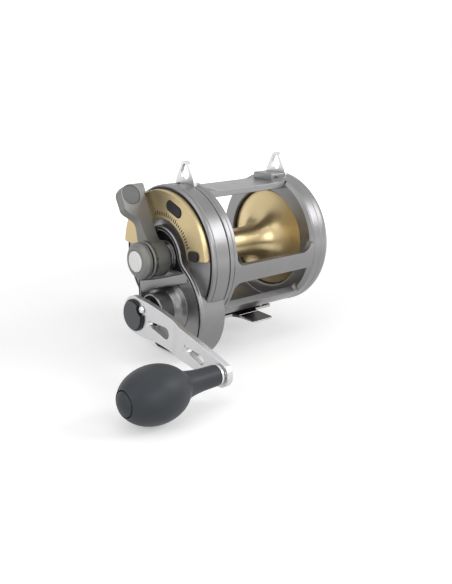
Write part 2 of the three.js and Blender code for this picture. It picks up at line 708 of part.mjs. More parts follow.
// Arc-shaped dial plate under the lever.
function dragDial() {
  const base = plate(sector(DIAL_INNER_R, DIAL_OUTER_R, DIAL_FROM, DIAL_TO),
    DRUM_FACE + FIT, DIAL_FACE - 1, 12);
  const face = plate(sector(DIAL_INNER_R + 0.4, DIAL_OUTER_R - 1, DIAL_FROM + 0.6, DIAL_TO - 0.6),
    DIAL_FACE - 1.2, DIAL_FACE, 12);
  let body = base.add(face);
  body = body.subtract(buttonBody(FIT, DRUM_FACE, DIAL_FACE + EPS));
  return body.subtract(stopPeg(FIT));
}

function stopShape(grow) {
  const shape = new THREE.Shape();
  const [y, z] = polar(STOP_R, STOP_ANGLE);
  const halfWide = 4.6 + grow;
  const halfTall = 3.5 + grow;
  shape.moveTo(y - halfWide, z - halfTall);
  shape.lineTo(y + halfWide, z - halfTall);
  shape.lineTo(y + halfWide, z + halfTall);
  shape.lineTo(y - halfWide, z + halfTall);
  return shape;
}

function stopPeg(grow) {
  const [y, z] = polar(STOP_R, STOP_ANGLE);
  return moved(disc(CASE_X + 1 - grow, DIAL_FACE + FIT + 0.2, 1.6 + grow, COARSE), y, z);
}

// Block that the lever meets at full drag.
function endStop() {
  return plate(stopShape(0), DIAL_FACE + FIT, DIAL_FACE + 1.9).add(stopPeg(0));
}

// Inner plate that closes the gear case and carries the crank's inner bearing.
function bridgePlate() {
  let body = disc(BRIDGE_X, BRIDGE_X + BRIDGE_THICKNESS, FRAME_R - CASE_WALL - FIT, FINE);
  const lobe = disc(BRIDGE_X, BRIDGE_X + BRIDGE_THICKNESS, CAVITY_R - FIT, FINE);
  body = body.add(moved(lobe, CRANK_Y, CRANK_Z));
  body = body.subtract(disc(BRIDGE_X - EPS, RATCHET_X, 9, MEDIUM));
  const seat = disc(BRIDGE_X - EPS, RATCHET_X, BEARING_R + FIT, MEDIUM);
  body = body.subtract(moved(seat, CRANK_Y, CRANK_Z));
  for (const [y, z] of bridgeScrewPlaces()) {
    body = body.subtract(moved(disc(BRIDGE_X - EPS, RATCHET_X, 1.5 + FIT, COARSE), y, z));
  }
  const [py, pz] = pawlPivot();
  const pin = disc(BRIDGE_X + EPS, GEAR_X - FIT, PAWL_PIN_R, COARSE);
  return body.add(moved(pin, CRANK_Y + py, CRANK_Z + pz));
}

function bridgeScrew([y, z]) {
  const body = turned([
    [BRIDGE_X - FIT - 1, 0], [BRIDGE_X - FIT - 0.7, 2.2], [BRIDGE_X - FIT, 2.6], [BRIDGE_X - FIT, 1.5],
    [BRIDGE_X + BRIDGE_THICKNESS + 6, 1.5], [BRIDGE_X + BRIDGE_THICKNESS + 6, 0],
  ], COARSE);
  return moved(body, y, z);
}

function sideScrew(angle) {
  const [y, z] = polar(SIDE_SCREW_R, angle);
  const body = turned([
    [RIGHT_WINDOW + 0.4, 0], [RIGHT_WINDOW + 0.4, 2.3], [RIGHT_WINDOW + 1.9, 2.3], [RIGHT_WINDOW + 1.9, 1.5],
    [SEAM + 7, 1.5], [SEAM + 7, 0],
  ], COARSE);
  return moved(body, y, z);
}

// ---- drive: crank shaft, gears, drag ------------------------------------------------------

// In the crank group the crank axis is the X axis.
function crankShaft() {
  const nutEnd = ARM_FACE - 0.5;
  return disc(BRIDGE_X - 0.3, nutEnd, CRANK_SHAFT_R, MEDIUM);
}

function crankBearing(x) {
  return ring(x, x + BEARING_WIDTH, BEARING_R, CRANK_SHAFT_R + FIT, MEDIUM);
}

function innerCrankBearing() {
  return ring(BRIDGE_X, BRIDGE_X + BRIDGE_THICKNESS, BEARING_R, CRANK_SHAFT_R + FIT, MEDIUM);
}

function mainGear() {
  const shape = gearShape(GEAR_TEETH, 0.8);
  shape.holes.push(roundShape(0, 0, CRANK_SHAFT_R + FIT));
  for (let i = 0; i < 6; i++) shape.holes.push(roundShape(...polar(18, 60 * i + 30), 5));
  const meshTurn = CRANK_ANGLE + 180;
  return turnedBy(plate(shape, GEAR_X, GEAR_X + GEAR_WIDTH, 5), meshTurn);
}

function antiReverseRatchet() {
  const shape = sawShape(RATCHET_TEETH, RATCHET_R, RATCHET_DEPTH);
  shape.holes.push(roundShape(0, 0, CRANK_SHAFT_R + FIT));
  return plate(shape, RATCHET_X, RATCHET_X + RATCHET_WIDTH, 5);
}

// The pawl's pivot, measured from the crank axis.
function pawlPivot() {
  return polar(RATCHET_R + 8, PAWL_ANGLE);
}

// Drawn with its tip in a tooth gap, against the holding face, then swung back clear of the teeth.
function antiReversePawl() {
  const [py, pz] = pawlPivot();
  const rootR = RATCHET_R - RATCHET_DEPTH;
  const body = polygon([
    polar(rootR + 0.5, 1.4), [RATCHET_R + 1, 0.5], [RATCHET_R + 1.8, 1.4],
    [py + 2.6, pz + 0.5], [py - 2.6, pz - 0.5],
  ]);
  const x1 = RATCHET_X + 1.3;
  let pawl = plate(body, RATCHET_X, x1);
  pawl = pawl.add(moved(disc(RATCHET_X, x1, 3, COARSE), py, pz));
  const hole = disc(RATCHET_X - EPS, x1 + EPS, PAWL_PIN_R + FIT, COARSE);
  pawl = pawl.subtract(moved(hole, py, pz));
  return moved(turnedBy(moved(pawl, -py, -pz), PAWL_CLEAR), py, pz);
}

function crankSleeve() {
  return ring(SLEEVE_X, SLEEVE_X + SLEEVE_LENGTH, SLEEVE_R, CRANK_SHAFT_R + FIT, MEDIUM);
}

function tubeSeal() {
  return ring(TUBE_END - 1.8, TUBE_END + FIT, BEARING_R, CRANK_SHAFT_R + FIT, MEDIUM);
}

// In the drive group, on the spool axis: pinion, its sleeve and its journal in one piece.
function pinion() {
  const teethEnd = CASE_X;
  const shape = gearShape(PINION_TEETH, 0.85);
  const half = 180 / PINION_TEETH;
  let body = turnedBy(plate(shape, PINION_X, teethEnd, 5), CRANK_ANGLE + half);
  body = body.add(disc(DRIVE_X + 0.9, PINION_X + 0.01, SLEEVE_PINION_R, MEDIUM));
  body = body.add(disc(teethEnd - 0.01, CASE_X + 4, PINION_BEARING_R - 3.3, MEDIUM));
  return body.subtract(disc(DRIVE_X, CASE_X + 5, DRIVE_SHAFT_R + FIT, MEDIUM));
}

function pinionBearing() {
  return ring(CASE_X + FIT, CASE_X + 4, PINION_BEARING_R, PINION_BEARING_R - 3, MEDIUM);
}

function drivePlate() {
  return ring(DRIVE_X, DRIVE_X + DRIVE_THICKNESS, FLANGE_R - 2, SLEEVE_PINION_R + FIT, FINE);
}

function dragWasher() {
  return ring(SPOOL_RIGHT + FIT, DRIVE_X - FIT, FLANGE_R - 3, 18, FINE);
}

// A coned disc spring; the second of a pair faces the other way.
function belleville(x, flip) {
  const near = flip ? 0.5 : 0;
  const far = flip ? 0 : 0.5;
  const inner = SPOOL_SHAFT_R + FIT;
  const outer = SLEEVE_PINION_R - 0.2;
  return turned([
    [x + near, inner], [x + far, outer], [x + far + 0.35, outer], [x + near + 0.35, inner],
  ], MEDIUM);
}

// ---- spool and its shaft ------------------------------------------------------------------

function spool() {
  const hubLeft = SPOOL_LEFT - 3;
  const leftFace = SPOOL_LEFT + FLANGE_THICKNESS;
  const rightFace = SPOOL_RIGHT - FLANGE_THICKNESS;
  const seat = BEARING_WIDTH + FIT;
  return turned([
    [hubLeft, BEARING_R + FIT], [hubLeft, 13], [SPOOL_LEFT, 13], [SPOOL_LEFT, FLANGE_R],
    [leftFace, FLANGE_R], [leftFace + 1.4, FLANGE_R * 0.8], [leftFace + 4, FLANGE_R * 0.6],
    [leftFace + 9, ARBOR_R + 5], [leftFace + 17, ARBOR_R + 1.6], [leftFace + 28, ARBOR_R],
    [rightFace - 28, ARBOR_R], [rightFace - 17, ARBOR_R + 1.6], [rightFace - 9, ARBOR_R + 5],
    [rightFace - 4, FLANGE_R * 0.6], [rightFace - 1.4, FLANGE_R * 0.8], [rightFace, FLANGE_R],
    [SPOOL_RIGHT, FLANGE_R], [SPOOL_RIGHT, BEARING_R + FIT],
    [SPOOL_RIGHT - seat, BEARING_R + FIT], [SPOOL_RIGHT - seat, SPOOL_SHAFT_R + 1.1],
    [hubLeft + seat, SPOOL_SHAFT_R + 1.1], [hubLeft + seat, BEARING_R + FIT],
  ], FINE - 12);
}

function spoolBearing(x) {
  return ring(x, x + BEARING_WIDTH, BEARING_R, SPOOL_SHAFT_R + FIT, MEDIUM);
}

// The shaft does not turn: the spool, the pinion and the lever turn on it.
function spoolShaft() {
  const step = DRIVE_X + 0.6;
  return turned([
    [CAP_FACE - 0.6, 0], [CAP_FACE - 0.6, SPOOL_SHAFT_R], [step, SPOOL_SHAFT_R], [step, DRIVE_SHAFT_R],
    [PRESET_X + 4.4, DRIVE_SHAFT_R], [PRESET_X + 4.4, 0],
  ], MEDIUM);
}

function clickRatchet() {
  const shape = new THREE.Shape();
  for (let tooth = 0; tooth < CLICK_TEETH; tooth++) {
    const step = 360 / CLICK_TEETH;
    const start = 90 + step * tooth;
    const corners = [[CLICK_R - 2, 0.18], [CLICK_R, 0.36], [CLICK_R, 0.64], [CLICK_R - 2, 0.82]];
    for (const [r, share] of corners) {
      const point = polar(r, start + step * share);
      if (tooth === 0 && share === 0.18) shape.moveTo(...point);
      else shape.lineTo(...point);
    }
  }
  shape.holes.push(roundShape(0, 0, 13 + FIT));
  return plate(shape, SPOOL_LEFT - FIT - 1.6, SPOOL_LEFT - FIT, 8);
}

// ---- left side cap ------------------------------------------------------------------------

function leftSideCap() {
  const rim = FRAME_R + 0.3;
  let body = turned([
    [CAP_X, 0], [CAP_X, rim], [CAP_X - 5, rim], [CAP_X - 8, rim - 1.2], [CAP_X - 10.4, rim - 4],
    [CAP_X - 11.8, rim - 9], [CAP_FACE, 26], [CAP_FACE, 0],
  ], FINE);
  body = body.subtract(turned([
    [CAP_X + EPS, 0], [CAP_X + EPS, BORE_R + 3], [CAP_X - 6.4, BORE_R + 3],
    [CAP_X - 9, BORE_R - 2], [CAP_FACE + CAP_WALL, 24], [CAP_FACE + CAP_WALL, 0],
  ], FINE));
  body = body.add(disc(CAP_FACE - 2, SPOOL_LEFT - 3 - 1, 7.5, MEDIUM));
  body = body.add(disc(CAP_FACE - 2, CAP_FACE + 1, 13, MEDIUM));
  body = body.subtract(disc(CAP_FACE - 4, 0, SPOOL_SHAFT_R + FIT, MEDIUM));
  body = body.subtract(disc(CAP_FACE - 4, CAP_FACE + 0.4, 9.2, MEDIUM));
  body = body.subtract(clickSlot());
  body = body.subtract(lugScrewRecess(-1));
  for (const angle of CAP_SCREW_ANGLES) {
    const [y, z] = polar(CAP_SCREW_R, angle);
    const shank = disc(CAP_FACE - 5, CAP_X + EPS, 1.5 + FIT, COARSE);
    const head = disc(CAP_FACE - 5, CAP_X - 7.4, 3.2, COARSE);
    body = body.subtract(moved(shank.add(head), y, z));
  }
  return body;
}

function leftBearingCap() {
  return turned([
    [CAP_FACE - 3.6, 0], [CAP_FACE - 3.6, 6], [CAP_FACE - 2.8, 8.8],
    [CAP_FACE - 0.9, 8.8], [CAP_FACE - 0.9, 0],
  ], MEDIUM);
}

function capScrew(angle) {
  const [y, z] = polar(CAP_SCREW_R, angle);
  const body = turned([
    [CAP_X - 9.6, 0], [CAP_X - 9.4, 2.2], [CAP_X - 8.8, 2.8], [CAP_X - 7.4 - FIT, 2.8],
    [CAP_X - 7.4 - FIT, 1.5], [CAP_X + 5, 1.5], [CAP_X + 5, 0],
  ], COARSE);
  return moved(body, y, z);
}

// Slot in the cap's face that the button's stem slides in.
function clickSlot() {
  const low = CLICK_Z - CLICK_TRAVEL - 2.3;
  return box(CAP_FACE - 3, CAP_FACE + CAP_WALL + 2, -2.3, 2.3, low, CLICK_Z + 2.3);
}

function clickButton() {
  const face = CAP_FACE - FIT;
  const grip = upright([
    [CLICK_Z - 4.5, 0], [CLICK_Z - 4.5, 4], [CLICK_Z + 4.5, 4], [CLICK_Z + 4.5, 0],
  ], face, 0);
  const outside = box(face - 5, face, -6, 6, CLICK_Z - 6, CLICK_Z + 6);
  const stem = box(face - 1, CLICK_INNER, -2, 2, CLICK_Z - 2, CLICK_Z + 2);
  return grip.intersect(outside).add(stem);
}

// Click tongue: hangs on the button's stem. Its tip drops into a gap of the ratchet when it is on.
function clickTongue() {
  const x0 = CLICK_INNER + FIT;
  const x1 = SPOOL_LEFT - FIT - 0.4;
  const arm = box(x0, x1, -2.4, 2.4, CLICK_Z - 2.4, CLICK_Z + 2.4);
  const tip = CLICK_R - CLICK_DEPTH + CLICK_TRAVEL;
  const outline = [
    [-1.6, CLICK_Z - 2], [-1.6, CLICK_Z - 2.4], [-0.3, tip],
    [0.3, tip], [1.6, CLICK_Z - 2.4], [1.6, CLICK_Z - 2],
  ];
  return arm.add(plate(polygon(outline), x1 - 1.2, x1));
}

// ---- drag lever and preset knob -----------------------------------------------------------

// Drawn pointing along +Z, then turned to its place at rest.
function dragLever() {
  const arm = polygon([
    [-7.6, 0], [7.6, 0], [5.2, 13], [4, 20], [4, 32], [-3.8, 32], [-3.5, 23], [-6.2, 15],
  ]);
  let body = plate(arm, LEVER_X, LEVER_X + LEVER_DEPTH).add(leverHead());
  body = turnedBy(body, LEVER_ANGLE - 90);
  body = body.add(disc(LEVER_X, LEVER_END, LEVER_HUB_R, MEDIUM));
  body = body.add(disc(CAM_X, LEVER_X + EPS, 9.6, MEDIUM));
  body = body.subtract(disc(CAM_X - EPS, LEVER_END + EPS, DRIVE_SHAFT_R + FIT, MEDIUM));
  return body.subtract(turnedBy(leverPadShape(FIT), LEVER_ANGLE - 90));
}

// The head leans out over the dial, away from the arm, so that a thumb can push it along its swing.
function leverHead() {
  const front = LEVER_X + LEVER_DEPTH;
  const end = LEVER_X + LEVER_HEAD_LENGTH;
  const profile = [
    [LEVER_X, 27], [front, 27], [end - 1, 34.4], [end, 36.5], [end, 48.5], [end - 1.2, 50.4],
    [end - 5.5, LEVER_REACH], [LEVER_X, LEVER_REACH],
  ];
  const heel = [
    [LEVER_X - 1.7, DIAL_OUTER_R - 1], [LEVER_X + 2, DIAL_OUTER_R - 1], [LEVER_X + 2, LEVER_REACH],
    [LEVER_X - 1.7, LEVER_REACH],
  ];
  return acrossLever(profile).add(acrossLever(heel));
}

// A convex profile of [x, distance from the axis] carried across the lever, with its edges chamfered.
function acrossLever(profile) {
  const x = profile.reduce((sum, point) => sum + point[0], 0) / profile.length;
  const z = profile.reduce((sum, point) => sum + point[1], 0) / profile.length;
  const points = [];
  for (const [px, pz] of profile) {
    for (const side of [-1, 1]) {
      points.push([px, side * (LEVER_HEAD_HALF - 0.8), pz]);
      const reach = Math.hypot(px - x, pz - z);
      const drawn = (reach - 0.8) / reach;
      points.push([x + (px - x) * drawn, side * LEVER_HEAD_HALF, z + (pz - z) * drawn]);
    }
  }
  return hull(points);
}

// Round pad let into the head's leading face.
function leverPadShape(grow) {
  const depth = 1.4 + 2 * grow;
  const geometry = new THREE.CylinderGeometry(PAD_R + grow, PAD_R + grow, depth, 24);
  const y = LEVER_HEAD_HALF - 0.7;
  return solid(geometry.translate(LEVER_X + 10.8, y, LEVER_REACH - 7.6));
}

function leverPad() {
  return turnedBy(leverPadShape(0), LEVER_ANGLE - 90);
}

// Fixed cam ring under the lever's hub.
function camRing() {
  return ring(FLOOR_FACE + 0.6 + FIT, CAM_X - FIT, 9.6, DRIVE_SHAFT_R + FIT, MEDIUM);
}

function presetKnob() {
  const end = PRESET_X + PRESET_LENGTH;
  const body = turned([
    [PRESET_X, 0], [PRESET_X, PRESET_R], [end - 2.4, PRESET_R], [end - 0.6, PRESET_R - 2],
    [end, PRESET_R - 3.4], [end, 0],
  ], MEDIUM);
  const bore = disc(PRESET_X - EPS, PRESET_X + 4.8, DRIVE_SHAFT_R + FIT, MEDIUM);
  const seat = disc(end - 1.6, end + EPS, PRESET_CAP_R + FIT, MEDIUM);
  return body.subtract(bore).subtract(seat);
}

function presetKnobCap() {
  const end = PRESET_X + PRESET_LENGTH;
  const face = end + PRESET_CAP_RISE;
  return turned([
    [end - 1.3, 0], [end - 1.3, PRESET_CAP_R], [face - 0.5, PRESET_CAP_R],
    [face, PRESET_CAP_R - 1], [face, 0],
  ], MEDIUM);
}

// ---- crank arm and knob -------------------------------------------------------------------

// Arm outline drawn along +Y from the crank axis, before it is turned down to ARM_ANGLE.
function armShape() {
  const shape = new THREE.Shape();
  shape.absarc(0, 0, ARM_HUB_R, radians(80), radians(262), false);
  shape.bezierCurveTo(14, -ARM_HUB_R, 20, -9.2, 34, -9);
  shape.bezierCurveTo(52, -8.6, 70, -8, ARM_LENGTH - 2, -ARM_END_R);
  shape.absarc(ARM_LENGTH, 0, ARM_END_R, radians(-100), radians(62), false);
  shape.bezierCurveTo(74, 10.6, 60, 12.4, 32, 14);
  shape.bezierCurveTo(20, 14.6, 10, 14.2, 3, ARM_HUB_R);
  return shape;
}

function crankArm() {
  const shape = armShape();
  shape.holes.push(teardrop([17.2, 0.6], 1.8, [34.4, 1.2], 4));
  shape.holes.push(teardrop([61.6, 1.6], 1.8, [74, 0.8], 3.2));
  let body = plate(shape, ARM_X, ARM_FACE + ARM_JOG, 5);
  const jogStart = ARM_LENGTH * 0.46;
  const jogEnd = jogStart + 8;
  body = body.subtract(armTrim(ARM_FACE, ARM_FACE + ARM_JOG, jogStart, jogEnd, ARM_FACE + ARM_JOG + EPS));
  body = body.subtract(armTrim(ARM_X, ARM_X + ARM_JOG, jogEnd, jogStart, ARM_X - EPS));
  body = body.subtract(disc(ARM_X - EPS, ARM_FACE + 3, CRANK_SHAFT_R + FIT, MEDIUM));
  body = body.subtract(disc(ARM_X + 1.4, ARM_FACE + 3, NUT_R + FIT, MEDIUM));
  const screw = polar(NUT_CAP_R, CAP_SCREW_ANGLE - ARM_ANGLE);
  body = body.subtract(moved(disc(ARM_X + 0.8, ARM_FACE + 3, 1.5, COARSE), ...screw));
  body = body.subtract(moved(disc(ARM_X - EPS, ARM_FACE + 4, SPINDLE_R + FIT, MEDIUM), ARM_LENGTH, 0));
  return turnedBy(body, ARM_ANGLE);
}

// Wedge that trims one face of the arm on one side of the jog.
function armTrim(xFlat, xSlope, from, to, xOut) {
  const far = from < to ? -40 : ARM_LENGTH + 40;
  const corners = [[xFlat, far], [xFlat, from], [xSlope, to], [xOut, to], [xOut, far]];
  const points = [];
  for (const [x, y] of corners) points.push([x, y, -40], [x, y, 40]);
  return hull(points);
}

function handleNut() {
  const body = disc(ARM_X + 1.4 + FIT, ARM_FACE, NUT_R, 6);
  return body.subtract(disc(ARM_X, ARM_FACE + EPS, CRANK_SHAFT_R + FIT, MEDIUM));
}

function nutCap() {
  const x0 = ARM_FACE + FIT;
  const body = turned([
    [x0, 0], [x0, NUT_CAP_R], [x0 + 1.2, NUT_CAP_R], [x0 + 1.8, NUT_CAP_R - 0.8], [x0 + 1.8, 0],
  ]);
  const notch = disc(x0 - EPS, x0 + 3, 4.2, MEDIUM);
  return body.subtract(moved(notch, ...polar(NUT_CAP_R, CAP_SCREW_ANGLE)));
}

function nutCapScrew() {
  const x0 = ARM_FACE + FIT;
  const body = turned([
    [ARM_X + 1, 0], [ARM_X + 1, 1.2], [x0, 1.2], [x0, 2.6], [x0 + 1.2, 2.4], [x0 + 2, 1.4], [x0 + 2.2, 0],
  ], COARSE);
  return moved(body, ...polar(NUT_CAP_R, CAP_SCREW_ANGLE));
}

// In the knob group the knob's axis is the X axis.
function knobSpindle() {
  const end = KNOB_X + KNOB_NECK + KNOB_HALF;
  return turned([
    [ARM_X + 0.6, 0], [ARM_X + 0.6, SPINDLE_R], [end, SPINDLE_R], [end, SPINDLE_R + 1.6],
    [end + 1.6, SPINDLE_R + 1.6], [end + 1.6, 0],
  ], MEDIUM);
}

function knobCollar() {
  return ring(COLLAR_X, COLLAR_X + COLLAR_LENGTH, KNOB_NECK_R, SPINDLE_R + FIT, MEDIUM);
}

function eggRadius(x) {
  const centre = KNOB_X + KNOB_NECK + KNOB_HALF;
  return KNOB_R * Math.sqrt(Math.max(0, 1 - ((x - centre) / KNOB_HALF) ** 2));
}

function knobCapX() {
  const centre = KNOB_X + KNOB_NECK + KNOB_HALF;
  return centre + KNOB_HALF * Math.sqrt(1 - (KNOB_CAP_R / KNOB_R) ** 2);
}

function eggProfile(from, to, steps) {
  const points = [];
  for (let i = 0; i <= steps; i++) {
    const turn = (i / steps) * Math.PI;
    const centre = KNOB_X + KNOB_NECK + KNOB_HALF;
    const x = centre - KNOB_HALF * Math.cos(turn);
    if (x > from && x < to) points.push([x, eggRadius(x)]);
  }
  return points;
}

function knob() {
  const seam = knobCapX();
  const meet = KNOB_X + KNOB_NECK + KNOB_HALF * 0.16;
  const end = KNOB_X + KNOB_NECK + KNOB_HALF;
  return turned([
    [KNOB_X, SPINDLE_R + FIT], [KNOB_X, KNOB_NECK_R], [KNOB_X + 13, KNOB_NECK_R + 0.2],
    [KNOB_X + 19, KNOB_NECK_R + 1.3], [meet - 0.6, eggRadius(meet) - 0.5], [meet, eggRadius(meet)],
    ...eggProfile(meet + 1, seam - 0.5, 16), [seam, KNOB_CAP_R + FIT],
    [seam - 2.6, KNOB_CAP_R + FIT], [seam - 2.6, SPINDLE_R + 2.4],
    [end - FIT, SPINDLE_R + 2.4], [end - FIT, SPINDLE_R + FIT],
  ], MEDIUM);
}

function knobEndCap() {
  const seam = knobCapX();
  const tip = KNOB_X + KNOB_NECK + 2 * KNOB_HALF;
  return turned([
    [seam - 2.3, 0], [seam - 2.3, KNOB_CAP_R], [seam, KNOB_CAP_R],
    ...eggProfile(seam + 0.4, tip - 0.1, 24), [tip, 0],
  ], MEDIUM);
}

// ---- materials and the assembled reel -----------------------------------------------------

function material(color, roughness, metalness) {
  return new THREE.MeshStandardMaterial({ color, roughness, metalness });
}

const GREY = [0x9a9a9c, 0.42, 0.85];
const DARK = [0x4a4c50, 0.5, 0.7];
const GOLD = [0xc8ad78, 0.3, 0.9];
const BRIGHT = [0xd2d2d4, 0.22, 0.95];
const STEEL = [0xb4b2ae, 0.3, 0.95];
const RUBBER = [0x484c52, 0.75, 0];
const BLACK = [0x2a282c, 0.6, 0.1];
const WHITE = [0xd8d8d6, 0.4, 0.2];
const BRASS = [0xb89850, 0.35, 0.9];

function piece(group, name, manifold, finish) {
  const mesh = new THREE.Mesh(geometryOf(manifold), material(...finish));
  mesh.name = name;
  group.add(mesh);
}

function group(parent, y, z) {
  const made = new THREE.Group();
  made.position.set(0, y, z);
  parent.add(made);
  return made;
}

function addFrameParts(reel) {
  piece(reel, 'frame', frame(), GREY);
  piece(reel, 'reel_foot', reelFoot(), STEEL);
  footScrewPlaces().forEach(([x, y], i) => {
    piece(reel, `foot_screw_${i + 1}`, footScrewShape(x, y, 0), STEEL);
  });
  for (const [name, side] of [['right', 1], ['left', -1]]) {
    piece(reel, `harness_lug_${name}`, harnessLug(side), BRIGHT);
    piece(reel, `lug_screw_${name}`, lugScrew(side), STEEL);
  }
  SIDE_SCREW_ANGLES.forEach((angle, i) => {
    piece(reel, `side_plate_screw_${i + 1}`, sideScrew(angle), STEEL);
  });
}

function addHandleSide(reel) {
  piece(reel, 'handle_side_plate', handleSidePlate(), GREY);
  piece(reel, 'bridge_plate', bridgePlate(), DARK);
  bridgeScrewPlaces().forEach((place, i) => {
    piece(reel, `bridge_screw_${i + 1}`, bridgeScrew(place), STEEL);
  });
  piece(reel, 'drag_dial', dragDial(), GOLD);
  piece(reel, 'strike_button', strikeButton(), BLACK);
  piece(reel, 'strike_spring', strikeSpring(), STEEL);
  piece(reel, 'lever_end_stop', endStop(), BLACK);
  piece(reel, 'pinion_bearing', pinionBearing(), STEEL);
  piece(reel, 'cam_ring', camRing(), STEEL);
  piece(reel, 'drag_lever', dragLever(), GREY);
  piece(reel, 'lever_pad', leverPad(), DARK);
  piece(reel, 'preset_knob', presetKnob(), GREY);
  piece(reel, 'preset_knob_cap', presetKnobCap(), WHITE);
}

function addDrive(reel) {
  piece(reel, 'pinion', pinion(), BRASS);
  piece(reel, 'drive_plate', drivePlate(), STEEL);
  piece(reel, 'drag_washer', dragWasher(), DARK);
  piece(reel, 'disc_spring_1', belleville(SPOOL_RIGHT + FIT, false), STEEL);
  piece(reel, 'disc_spring_2', belleville(SPOOL_RIGHT + FIT + 1.2, true), STEEL);
  piece(reel, 'spool_shaft', spoolShaft(), STEEL);
  piece(reel, 'spool_bearing_left', spoolBearing(SPOOL_LEFT - 3 + FIT), STEEL);
  piece(reel, 'spool_bearing_right', spoolBearing(SPOOL_RIGHT - BEARING_WIDTH), STEEL);
  piece(reel, 'spool', spool(), GOLD);
  piece(reel, 'click_ratchet', clickRatchet(), STEEL);
}

function addLeftSide(reel) {
  piece(reel, 'left_side_cap', leftSideCap(), GREY);
  piece(reel, 'left_bearing_cap', leftBearingCap(), GREY);
  piece(reel, 'click_button', clickButton(), BLACK);
  piece(reel, 'click_tongue', clickTongue(), STEEL);
  CAP_SCREW_ANGLES.forEach((angle, i) => {
    piece(reel, `left_cap_screw_${i + 1}`, capScrew(angle), STEEL);
  });
}

function addCrank(reel) {
  const crank = group(reel, CRANK_Y, CRANK_Z);
  piece(crank, 'crank_shaft', crankShaft(), STEEL);
  piece(crank, 'crank_bearing_inner', innerCrankBearing(), STEEL);
  piece(crank, 'crank_bearing_outer', crankBearing(TUBE_END - 2 - BEARING_WIDTH), STEEL);
  piece(crank, 'crank_tube_seal', tubeSeal(), BLACK);
  piece(crank, 'crank_sleeve', crankSleeve(), BRIGHT);
  piece(crank, 'main_gear', mainGear(), BRASS);
  piece(crank, 'anti_reverse_ratchet', antiReverseRatchet(), STEEL);
  piece(crank, 'anti_reverse_pawl', antiReversePawl(), STEEL);
  piece(crank, 'crank_arm', crankArm(), BRIGHT);
  piece(crank, 'handle_nut', handleNut(), STEEL);
  piece(crank, 'nut_cap', nutCap(), DARK);
  piece(crank, 'nut_cap_screw', nutCapScrew(), BRIGHT);
  const grip = group(crank, KNOB_Y, KNOB_Z);
  piece(grip, 'knob_spindle', knobSpindle(), STEEL);
  piece(grip, 'knob_collar', knobCollar(), BRIGHT);
  piece(grip, 'knob', knob(), RUBBER);
  piece(grip, 'knob_end_cap', knobEndCap(), RUBBER);
}

function buildReel() {
  const part = new THREE.Group();
  const reel = new THREE.Group();
  reel.position.set(0, 0, AXIS_HEIGHT);
  part.add(reel);
  addFrameParts(reel);
  addHandleSide(reel);
  addDrive(reel);
  addLeftSide(reel);
  addCrank(reel);
  return part;
}

export default buildReel();
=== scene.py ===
"""Lever-drag trolling reel: its visible pieces, finishes and stage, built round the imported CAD."""

import math

import bmesh
import bpy
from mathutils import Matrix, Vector


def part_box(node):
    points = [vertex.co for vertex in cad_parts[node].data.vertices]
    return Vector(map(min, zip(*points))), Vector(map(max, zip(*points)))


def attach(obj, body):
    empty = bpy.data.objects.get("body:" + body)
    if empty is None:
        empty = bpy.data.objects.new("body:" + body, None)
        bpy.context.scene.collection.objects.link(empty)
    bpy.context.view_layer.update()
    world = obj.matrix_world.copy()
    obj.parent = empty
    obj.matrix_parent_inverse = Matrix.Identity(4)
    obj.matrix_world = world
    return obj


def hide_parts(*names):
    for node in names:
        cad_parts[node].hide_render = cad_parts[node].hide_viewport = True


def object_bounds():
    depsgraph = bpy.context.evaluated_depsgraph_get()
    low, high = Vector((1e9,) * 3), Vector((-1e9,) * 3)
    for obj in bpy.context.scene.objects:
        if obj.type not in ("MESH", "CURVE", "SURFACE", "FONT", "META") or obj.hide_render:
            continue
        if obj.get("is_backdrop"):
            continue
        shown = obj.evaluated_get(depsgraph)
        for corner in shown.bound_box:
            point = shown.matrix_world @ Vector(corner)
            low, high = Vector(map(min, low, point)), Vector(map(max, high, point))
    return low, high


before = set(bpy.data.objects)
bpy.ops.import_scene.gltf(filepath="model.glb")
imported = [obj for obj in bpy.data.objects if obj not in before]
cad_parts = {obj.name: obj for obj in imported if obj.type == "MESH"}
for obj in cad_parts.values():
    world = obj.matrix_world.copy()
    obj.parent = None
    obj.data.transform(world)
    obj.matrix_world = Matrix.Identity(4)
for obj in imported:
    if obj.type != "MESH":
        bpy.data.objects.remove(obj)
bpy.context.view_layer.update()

bl_info = {
    "name": "Trolling Reel",
    "version": (1, 0, 0),
    "blender": (4, 5, 0),
    "location": "View3D > Sidebar > Reel",
    "description": "Builds a lever-drag trolling reel piece by piece round its packed CAD",
    "category": "Add Mesh",
}

# ---- places and sizes, in millimetres -----------------------------------------------------

MM = 0.001
FULL_TURN = 2 * math.pi


def corner(node, high):
    """One corner of a CAD node's box, in millimetres."""
    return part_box(node)[high] / MM


def axis_of(node):
    """Where the turning axis of a round CAD node lies: (y, z) in millimetres."""
    middle = (corner(node, 0) + corner(node, 1)) / 2
    return middle.y, middle.z


SPOOL_AXIS = axis_of("spool")
CRANK_AXIS = axis_of("crank_sleeve")
KNOB_AXIS = axis_of("knob_collar")
CRANK_Y = CRANK_AXIS[0] - SPOOL_AXIS[0]
CRANK_Z = CRANK_AXIS[1] - SPOOL_AXIS[1]
CENTRES = math.hypot(CRANK_Y, CRANK_Z)
CRANK_ANGLE = math.degrees(math.atan2(CRANK_Z, CRANK_Y))
ARM_LENGTH = math.hypot(KNOB_AXIS[0] - CRANK_AXIS[0], KNOB_AXIS[1] - CRANK_AXIS[1])
ARM_ANGLE = math.degrees(math.atan2(KNOB_AXIS[1] - CRANK_AXIS[1], KNOB_AXIS[0] - CRANK_AXIS[0]))

